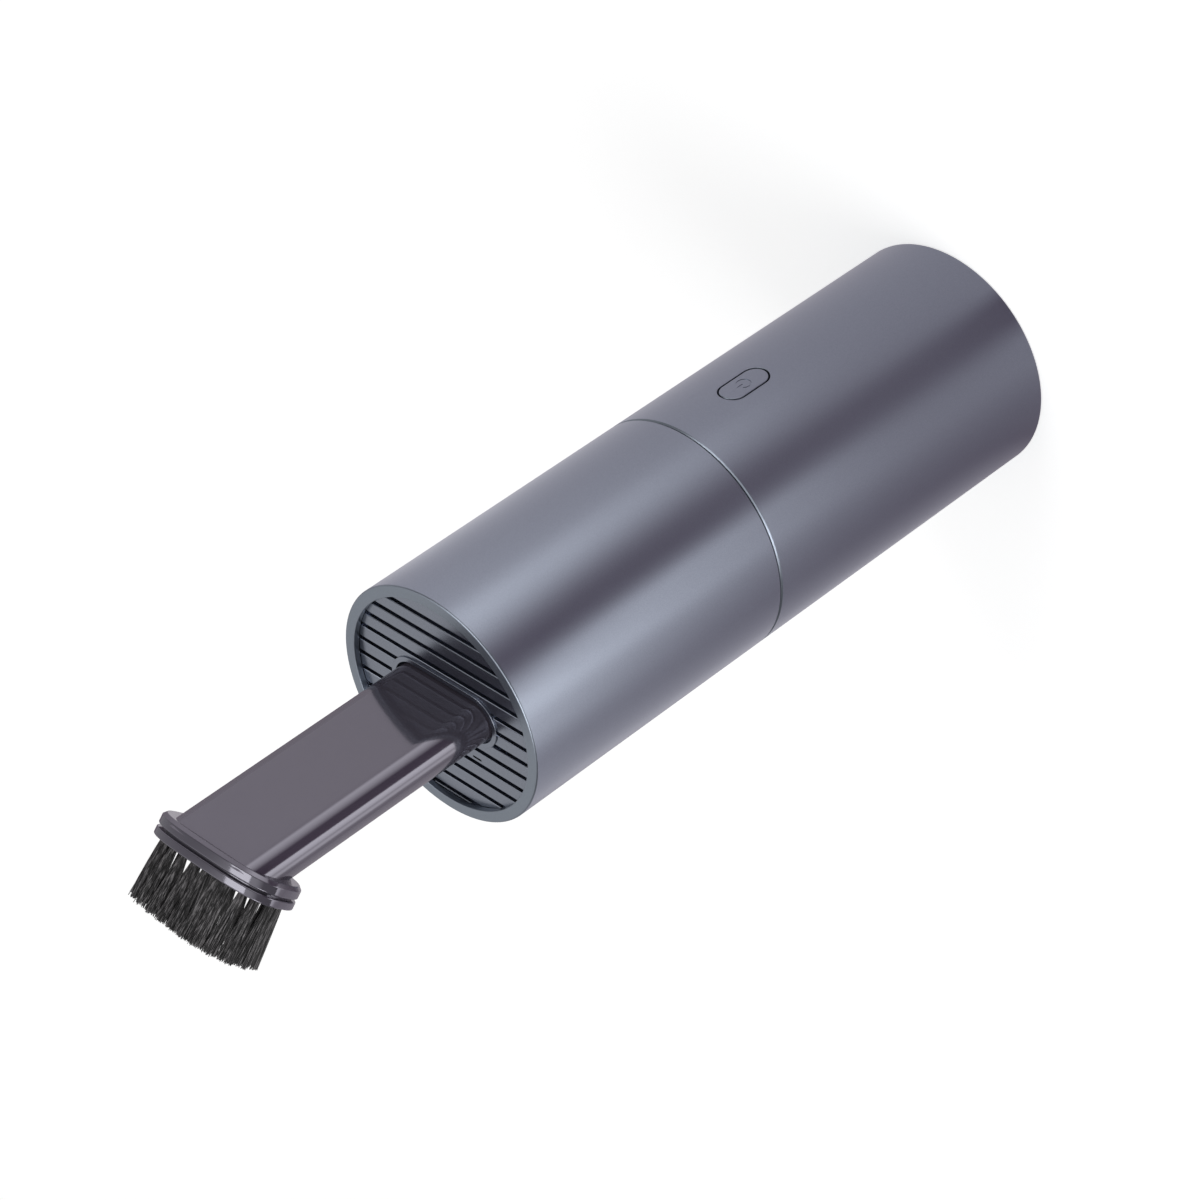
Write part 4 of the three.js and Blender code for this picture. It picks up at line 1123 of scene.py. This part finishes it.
def front_shell():
    piece("front_shell", "dust_cup", "slate_paint", "dust_cup_shell", turned([
        (SHELL_BORE, CUP_BOTTOM), (BODY_RADIUS - SEAM_CHAMFER, CUP_BOTTOM, SHARP_EDGE),
        (BODY_RADIUS, CUP_BOTTOM + SEAM_CHAMFER, SHARP_EDGE), (BODY_RADIUS, BODY_TOP, ROUND_EDGE),
        (LIP_RADIUS, BODY_TOP, FINE_EDGE), (LIP_RADIUS, BODY_TOP - RIM_HEIGHT),
        (SHELL_BORE, BODY_TOP - RIM_HEIGHT),
    ]))


# Front grille

def arc_points(radius, from_y, to_y, arm=0.0):
    """Points on the right-hand side of a circle, or of an obround with that arm, between two heights."""
    ends = [math.asin(max(-1, min(1, y / radius))) for y in (from_y, to_y)]
    return [(arm + radius * math.cos(angle), radius * math.sin(angle)) for angle in spaced(*ends, BAR_STEPS)]


def mirrored(points):
    return [(-x, y) for x, y in reversed(points)]


def bar_outlines(low, high):
    """The outlines of the bar between two heights: one, or two where the collar parts it."""
    collar = INLET_HALF_WIDTH + COLLAR_WALL
    arm = INLET_HALF_LENGTH - INLET_HALF_WIDTH
    field = SLOT_FIELD + BAR_OVERRUN
    outer = arc_points(field, low, high)
    if low >= collar:
        return [outer + mirrored(outer)]
    if high <= collar:
        inner = arc_points(collar, low, high, arm)
        right = outer + inner[::-1]
        return [right, mirrored(right)]
    inner = arc_points(collar, low, collar, arm)
    return [outer + mirrored(outer) + mirrored(inner)[::-1] + inner[::-1]]


def grille_face():
    """A disc with bars on it, the collar round the nozzle, and a dash sunk into one bar."""
    bottom = GRILLE_TOP - GRILLE_THICKNESS
    floor = GRILLE_TOP - SLOT_DEPTH
    parts = [turned([
        (0, bottom), (LINER, bottom, FINE_EDGE), (LINER, GRILLE_TOP), (SLOT_FIELD, GRILLE_TOP),
        (SLOT_FIELD, floor), (0, floor),
    ])]
    for row in range(int(BODY_RADIUS // SLOT_PITCH) + 1):
        low = row * SLOT_PITCH + SLOT_WIDTH / 2
        high = min((row + 1) * SLOT_PITCH - SLOT_WIDTH / 2, SLOT_FIELD)
        if high <= low:
            continue
        for outline in bar_outlines(low, high):
            parts.append(plate(outline, floor, GRILLE_TOP, BAR_EDGE, steps=1))
            upside_down = [(x, -y) for x, y in reversed(outline)]
            bar = plate(upside_down, floor, GRILLE_TOP, BAR_EDGE, steps=1)
            if low < -DASH_PLACE[1] < high:
                marked = bar
            else:
                parts.append(bar)
    parts.append(banded(obround(INLET_HALF_LENGTH + COLLAR_WALL, INLET_HALF_WIDTH + COLLAR_WALL), [
        (0, SOCKET_BOTTOM), (0, COLLAR_TOP, COLLAR_EDGE), (COLLAR_WALL, COLLAR_TOP, COLLAR_EDGE),
        (COLLAR_WALL, SOCKET_BOTTOM),
    ]))
    dash = obround(DASH_LENGTH / 2, DASH_WIDTH / 2, steps=6, straights=2)
    dash = plate(dash(), GRILLE_TOP - DASH_DEPTH, BODY_TOP)
    dashed_bar = carved(solid_mesh("marked_bar", marked), moved(dash, (*DASH_PLACE, 0)))
    mesh = joined("grille_face", solid_mesh("grille_parts", *parts), dashed_bar)
    show("grille_face", mesh, "dust_cup", "grille_paint", "front_grille")


# Nozzle

def nozzle_body():
    """The flat tube, which runs a little way into the slanted flange, and that flange."""
    outline = obround(NOZZLE_HALF_LENGTH, NOZZLE_HALF_WIDTH, NOZZLE_STEPS)
    rings = []
    for inset, at_top in [(0, False), (0, True), (NOZZLE_WALL, True), (NOZZLE_WALL, False)]:
        rings.append([
            (x, y, slanted_height(y) + TUBE_OVERRUN if at_top else NOZZLE_BOTTOM) for x, y in outline(inset)
        ])
    tube = loft(rings)
    flange = banded(oval(HEAD_HALF_LENGTH, HEAD_HALF_WIDTH), [
        (SHOULDER_WIDTH, -SHOULDER_HEIGHT, FINE_EDGE), (0, 0, HEAD_EDGE), (0, FLANGE_THICKNESS, HEAD_EDGE),
        (FLANGE_SOCKET_INSET, FLANGE_THICKNESS), (FLANGE_SOCKET_INSET, FLANGE_SOCKET_FLOOR),
        (FLANGE_BORE_INSET, FLANGE_SOCKET_FLOOR), (FLANGE_BORE_INSET, -SHOULDER_HEIGHT),
    ])
    flange = mapped(flange, on_head)
    piece("nozzle_body", "nozzle", "gloss_charcoal", "nozzle_tube", tube, flange, sharp=50)


def nozzle_ring():
    low, high = heights("nozzle_seal")
    corner = highest("nozzle_seal")
    piece("nozzle_ring", "nozzle", "black_rubber", "nozzle_seal", banded(obround(corner.x, corner.y), [
        (0, low, SOFT_EDGE), (0, high, SOFT_EDGE), (NOZZLE_SEAL_WIDTH, high), (NOZZLE_SEAL_WIDTH, low),
    ]))


# Brush head

def brush_ring():
    band = banded(oval(HEAD_HALF_LENGTH, HEAD_HALF_WIDTH), [
        (0, BRUSH_BOTTOM, HEAD_EDGE), (0, BRUSH_TOP, HEAD_EDGE),
        (CHANNEL_OUTER_INSET, BRUSH_TOP), (CHANNEL_OUTER_INSET, BRUSH_TOP - CHANNEL_DEPTH),
        (CHANNEL_INNER_INSET, BRUSH_TOP - CHANNEL_DEPTH), (CHANNEL_INNER_INSET, BRUSH_TOP),
        (MOUTH_INSET, BRUSH_TOP), (MOUTH_INSET, SPIGOT_BOTTOM), (SPIGOT_INSET, SPIGOT_BOTTOM),
        (SPIGOT_INSET, GROOVE_BOTTOM), (GROOVE_DEPTH, GROOVE_BOTTOM), (GROOVE_DEPTH, BRUSH_BOTTOM),
    ])
    piece("brush_ring", "brush", "gloss_charcoal", "brush_base", mapped(band, on_head), sharp=50)


TUFT_HALF_LENGTH = HEAD_HALF_LENGTH - (CHANNEL_OUTER_INSET + CHANNEL_INNER_INSET) / 2
TUFT_HALF_WIDTH = HEAD_HALF_WIDTH - (CHANNEL_OUTER_INSET + CHANNEL_INNER_INSET) / 2


def oval_walk():
    """A function that gives the angle on the tufts' oval at a share of the way round it."""
    steps = 720
    angles = spaced(0, math.tau, steps)
    places = [Vector(oval_point(TUFT_HALF_LENGTH, TUFT_HALF_WIDTH, angle)) for angle in angles]
    walked = [0.0]
    for i in range(steps):
        walked.append(walked[-1] + (places[i + 1] - places[i]).length)

    def angle_at(share):
        goal = share % 1 * walked[-1]
        i = next(i for i in range(steps) if walked[i + 1] >= goal)
        return angles[i] + (goal - walked[i]) / (walked[i + 1] - walked[i]) * angles[1]
    return angle_at


angle_at = oval_walk()


def strand(root, tip, bow, thickness):
    """One bristle: a thin tapered rod from root to tip that bows a little to one side."""
    sections = []
    for share in spaced(0, 1, STRAND_STEPS):
        centre = root.lerp(tip, share)
        centre += bow * math.sin(math.pi / 2 * share) * (1 - share) * BOW_FULLNESS
        radius = thickness * (STRAND_RADIUS + (STRAND_TIP_RADIUS - STRAND_RADIUS) * share)
        sections.append([(centre.x + x, centre.y + y, centre.z) for x, y in circle(radius, STRAND_SIDES)()])
    return capped(sections)


def either_way(chance, reaches):
    """A random shift in the head's plane, up to a reach to either side along each of its two directions."""
    return Vector((*[chance.uniform(-reach, reach) for reach in reaches], 0))


def tuft(number, chance):
    """The strands of one tuft, which stand close at the root and spread out towards the tips."""
    angle = angle_at((number + TUFT_PHASE) / TUFT_COUNT)
    centre = Vector((*oval_point(TUFT_HALF_LENGTH, TUFT_HALF_WIDTH, angle), 0))
    splayed = oval_point(TUFT_HALF_LENGTH + TUFT_SPLAY[0], TUFT_HALF_WIDTH + TUFT_SPLAY[1], angle)
    outside = Vector((*splayed, 0))
    shortening = END_DROP * ((TUFT_HALF_LENGTH - centre.x) / (2 * TUFT_HALF_LENGTH)) ** 2
    strands = []
    for _ in range(STRANDS_PER_TUFT):
        share = math.sqrt(chance.random())
        turn = math.tau * chance.random()
        aside = Vector((math.cos(turn), math.sin(turn), 0)) * share
        length = STRAND_LENGTH - shortening + chance.triangular(*LENGTH_CHANCE)
        root = centre + aside * TUFT_RADIUS + Vector((0, 0, BRUSH_TOP - CHANNEL_DEPTH + ROOT_RISE))
        tip = outside + aside * TUFT_TIP_RADIUS + Vector((0, 0, BRUSH_TOP + length))
        tip += either_way(chance, TIP_CHANCE)
        bow = either_way(chance, BOW_CHANCE)
        strands.append(mapped(strand(root, tip, bow, chance.uniform(*THICKNESS_CHANCE)), on_head))
    return strands


def bristle_rows():
    """The ring of tufts, in one piece for each of the frame's four groups."""
    first = TUFTS_PER_END // 2
    stops = [first, first + TUFTS_PER_ROW, first + TUFTS_PER_ROW + TUFTS_PER_END, TUFT_COUNT - first,
             TUFT_COUNT + first]
    names = ["front_row", "left_end", "back_row", "right_end"]
    chance = random.Random(BRISTLE_CHANCE)
    for name, start, stop in zip(names, stops, stops[1:]):
        strands = [one for number in range(start, stop) for one in tuft(number, chance)]
        piece(f"tufts_{name}", "brush", "black_bristle", f"bristles_{name}", *strands, sharp=60)


# Pieces that stay as the frame has them

NODE_FINISHES = {
    "steel": ["motor_can", "motor_end_plate", "motor_rotor", "motor_shaft", "flap_pin", "flap_spring"],
    "copper_windings": ["motor_stator"],
    "cell_wrap": ["battery_cell_1", "battery_cell_2", "battery_cell_3"],
    "green_board": ["charge_board", "control_board"],
    "black_plastic": ["battery_holder", "tact_switch", "motor_plate", "inlet_duct"],
    "black_rubber": ["motor_cushion", "inlet_flap"],
}
NODE_EDGE = 0.15
ROUND_ANGLE = math.radians(40)


def round_shading_group():
    """Shades flat facets as one round face, and keeps the edges that turn by more than the angle."""
    tree = bpy.data.node_groups.new("round_shading", "GeometryNodeTree")
    for way in ("INPUT", "OUTPUT"):
        tree.interface.new_socket(name="Geometry", in_out=way, socket_type="NodeSocketGeometry")
    entry = add_node(tree, "NodeGroupInput")
    angle = add_node(tree, "GeometryNodeInputMeshEdgeAngle").outputs["Unsigned Angle"]
    gentle = add_node(tree, "FunctionNodeCompare", {"operation": "LESS_THAN"}, A=angle, B=ROUND_ANGLE)
    faces = add_node(tree, "GeometryNodeSetShadeSmooth", Geometry=entry.outputs[0])
    edges = add_node(tree, "GeometryNodeSetShadeSmooth", {"domain": "EDGE"}, Geometry=faces.outputs[0],
                     Shade_Smooth=gentle.outputs["Result"])
    tree.links.new(edges.outputs[0], add_node(tree, "NodeGroupOutput").inputs[0])
    return tree


def dress_nodes():
    """Gives every node that stays its finish, soft edges and round shading."""
    shading = round_shading_group()
    for slot, names in NODE_FINISHES.items():
        for name in names:
            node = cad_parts[name]
            node.data.materials.clear()
            node.data.materials.append(finishes[slot])
            weld = node.modifiers.new("one_skin", "WELD")
            weld.merge_threshold = 2 * MERGE_DISTANCE * MM
            edge = node.modifiers.new("soft_edges", "BEVEL")
            edge.width = NODE_EDGE * MM
            edge.segments = 2
            edge.angle_limit = ROUND_ANGLE
            rounded = node.modifiers.new("round_shading", "NODES")
            rounded.node_group = shading


# Floor, light and background. Each glow is a list of (azimuth in degrees, brightness) that gloss reflects.

FAR_GLOW = [
    (-180, 0.36), (-155, 0.48), (-135, 0.15), (-112, 0.18), (-98, 0.38), (-85, 0.28), (-50, 0.19), (-25, 0.2),
    (-14, 0.25), (-2, 0.35), (0, 0.8), (6, 0.8), (8, 0.4), (18, 0.5), (21, 1), (30, 1), (34, 0.1), (38, 0.02),
    (69, 0.02), (80, 0.27), (90, 0.57), (103, 0.61), (109, 0.42), (116, 0.3), (135, 0.3), (150, 0.25),
    (180, 0.36),
]
# Dimmer than FAR_GLOW: painted shade of the body in the floor's glow, near where it stands.
SHADED_NEAR_GLOW = [
    (-180, 0.25), (-140, 0.3), (-100, 0.31), (-85, 0.2), (-50, 0.085), (-25, 0.12), (0, 0.18), (20, 0.18),
    (40, 0.08), (60, 0.08), (75, 0.18), (110, 0.2), (180, 0.24),
]
NOZZLE_GLOW = [
    (-180, 0.18), (-165, 0.13), (-145, 0.08), (-128, 0.085), (-116, 0.13), (-104, 0.185), (-92, 0.23),
    (-80, 0.25), (-56, 0.27), (-44, 0.2), (-32, 0.27), (-24, 0.68), (-17, 0.72), (-9, 0.48), (-2, 0.8),
    (9, 1), (17, 1), (21, 0.1), (25, 0.02), (56, 0.02), (63, 0.2), (75, 0.45), (87, 0.62), (99, 0.72),
    (106, 0.5), (111, 0.3), (140, 0.31), (165, 0.22), (180, 0.18),
]
GLOW_TINT = (0.011, -0.007, 0.012)
GLOW_CENTRE = (10.9, 12.4, 0)
GLOW_STRENGTH = 2.4
# Distances from the glow's centre over which the painted shade near the body gives way to FAR_GLOW.
NEAR_SHADE_REACHES = (120, 370)
NOZZLE_REACHES = (337, 351)
FLOOR_HALF = 4000
FLOOR_GREY = 0.8
FLOOR_WHITES = (0.5, 0.7)
FLOOR_FADE = (600, 2000)
SKY_GLOW = [
    (-180, 0.46), (-131, 0.53), (-100, 0.41), (-75, 0.12), (-35, 0.08), (100, 0.12), (131, 0.08), (150, 0.25),
    (180, 0.46),
]
SKY_TOP = 0.85
SKY_TOP_HEIGHTS = (0.64, 0.82)
SKY_LIGHT = 0.45


def glow_by_azimuth(tree, direction, levels, tint=(0, 0, 0)):
    """The glow's brightness in the direction in which a ray meets the floor or the sky."""
    turn = add_node(tree, "ShaderNodeTexGradient", {"gradient_type": "RADIAL"}, Vector=direction)
    stops = [(azimuth / 360 + 0.5, [level + extra for extra in tint]) for azimuth, level in levels]
    return ramp(tree, turn.outputs["Fac"], stops)


def graded(tree, value, start, end, low=0.0, high=1.0):
    """A number that goes from low to high while the value goes from start to end."""
    limits = {"From_Min": start, "From_Max": end, "To_Min": low, "To_Max": high}
    return add_node(tree, "ShaderNodeMapRange", Value=value, **limits).outputs["Result"]


def gloss_rays(tree, rays):
    return math_node(tree, "MAXIMUM", rays["Is Glossy Ray"], rays["Is Transmission Ray"])


def floor_finish():
    """A pale floor that the camera sees as white with a soft shadow, and that gloss sees as lit panels,
    dimmed near the body by painted shade.
    """
    material = bpy.data.materials.new("studio_floor")
    material.use_nodes = True
    material.cycles.emission_sampling = "NONE"
    tree = material.node_tree
    tree.nodes.clear()
    rays = add_node(tree, "ShaderNodeLightPath").outputs
    place = object_place(tree)
    length = add_node(tree, "ShaderNodeVectorMath", {"operation": "LENGTH"}, Vector=place).outputs["Value"]
    shift = add_node(tree, "ShaderNodeVectorMath", {"operation": "SUBTRACT"}, Vector=place)
    shift.inputs[1].default_value = Vector(GLOW_CENTRE) * MM
    # The glow starts with the near levels, painted shade round the body, and gives way to the far and nozzle
    # levels farther out.
    glow = glow_by_azimuth(tree, shift.outputs[0], SHADED_NEAR_GLOW, GLOW_TINT)
    for levels, (start, end) in ((FAR_GLOW, NEAR_SHADE_REACHES), (NOZZLE_GLOW, NOZZLE_REACHES)):
        outer = glow_by_azimuth(tree, shift.outputs[0], levels, GLOW_TINT)
        glow = mixed(tree, graded(tree, length, start * MM, end * MM), glow, outer)
    lit = add_node(tree, "ShaderNodeEmission", Color=glow, Strength=GLOW_STRENGTH)
    whites = graded(tree, length, FLOOR_FADE[0] * MM, FLOOR_FADE[1] * MM, *FLOOR_WHITES)
    lift = math_node(tree, "MULTIPLY", rays["Is Camera Ray"], whites)
    white = add_node(tree, "ShaderNodeEmission", Strength=lift)
    matt = add_node(tree, "ShaderNodeBsdfDiffuse", Color=(FLOOR_GREY, FLOOR_GREY, FLOOR_GREY, 1))
    seen = add_node(tree, "ShaderNodeAddShader")
    tree.links.new(white.outputs[0], seen.inputs[0])
    tree.links.new(matt.outputs[0], seen.inputs[1])
    mix = add_node(tree, "ShaderNodeMixShader", Fac=gloss_rays(tree, rays))
    tree.links.new(seen.outputs[0], mix.inputs[1])
    tree.links.new(lit.outputs[0], mix.inputs[2])
    add_node(tree, "ShaderNodeOutputMaterial", Surface=mix.outputs[0])
    return material


def make_floor():
    half = FLOOR_HALF
    corners = [(-half, -half, 0), (half, -half, 0), (half, half, 0), (-half, half, 0)]
    mesh = solid_mesh("studio_floor", (corners, [(0, 1, 2, 3)]))
    mesh.materials.append(floor_finish())
    floor = placed("studio_floor", mesh)


def make_background():
    """A sky that the camera sees as white, that lights evenly, and that gloss sees as soft panels."""
    world = bpy.data.worlds.new("studio")
    world.use_nodes = True
    tree = world.node_tree
    tree.nodes.clear()
    rays = add_node(tree, "ShaderNodeLightPath").outputs
    direction = add_node(tree, "ShaderNodeTexCoord").outputs["Generated"]
    around = glow_by_azimuth(tree, direction, SKY_GLOW)
    height = add_node(tree, "ShaderNodeSeparateXYZ", Vector=direction).outputs["Z"]
    gloss = math_node(tree, "MAXIMUM", around, graded(tree, height, *SKY_TOP_HEIGHTS, 0.0, SKY_TOP))
    dull = math_node(tree, "MULTIPLY_ADD", rays["Is Camera Ray"], 1 - SKY_LIGHT, SKY_LIGHT)
    change = math_node(tree, "SUBTRACT", gloss, dull)
    strength = math_node(tree, "MULTIPLY_ADD", change, gloss_rays(tree, rays), dull)
    sky = add_node(tree, "ShaderNodeBackground", Color=(1, 1, 1, 1), Strength=strength)
    add_node(tree, "ShaderNodeOutputWorld", Surface=sky.outputs[0])
    bpy.context.scene.world = world


LAMP_RISE = math.radians(55)
LAMP_DISTANCE = 1.4
LAMP_AIM = 0.8


def soft_box(name, azimuth, size, brightness):
    """A square lamp, its size and distance in metres, that is aimed at the upper body."""
    lamp = bpy.data.lights.new(name, "AREA")
    lamp.size = size
    lamp.energy = brightness * math.pi * size ** 2
    turn = math.radians(azimuth)
    across = math.cos(LAMP_RISE)
    toward = Vector((across * math.cos(turn), across * math.sin(turn), math.sin(LAMP_RISE)))
    thing = placed(name, lamp)
    thing.location = toward * LAMP_DISTANCE + Vector((0, 0, LAMP_AIM * BODY_TOP * MM))
    thing.rotation_euler = toward.to_track_quat("Z", "Y").to_euler()
    thing.visible_camera = False


rear_shell()
button_cap()
rear_cap_face()
all_screws()
charging_socket()
foam_ring()
fan_shroud_lid()
soft_rings()
fan_wheel()
filter_cage()
paper_pleats()
filter_lid()
front_shell()
grille_face()
nozzle_body()
nozzle_ring()
brush_ring()
bristle_rows()
dress_nodes()
make_floor()
make_background()
soft_box("box_right", azimuth=-8, size=0.7, brightness=3.6)
soft_box("box_left", azimuth=107, size=0.65, brightness=2.5)

scene = bpy.context.scene
scene.view_settings.view_transform = "Standard"
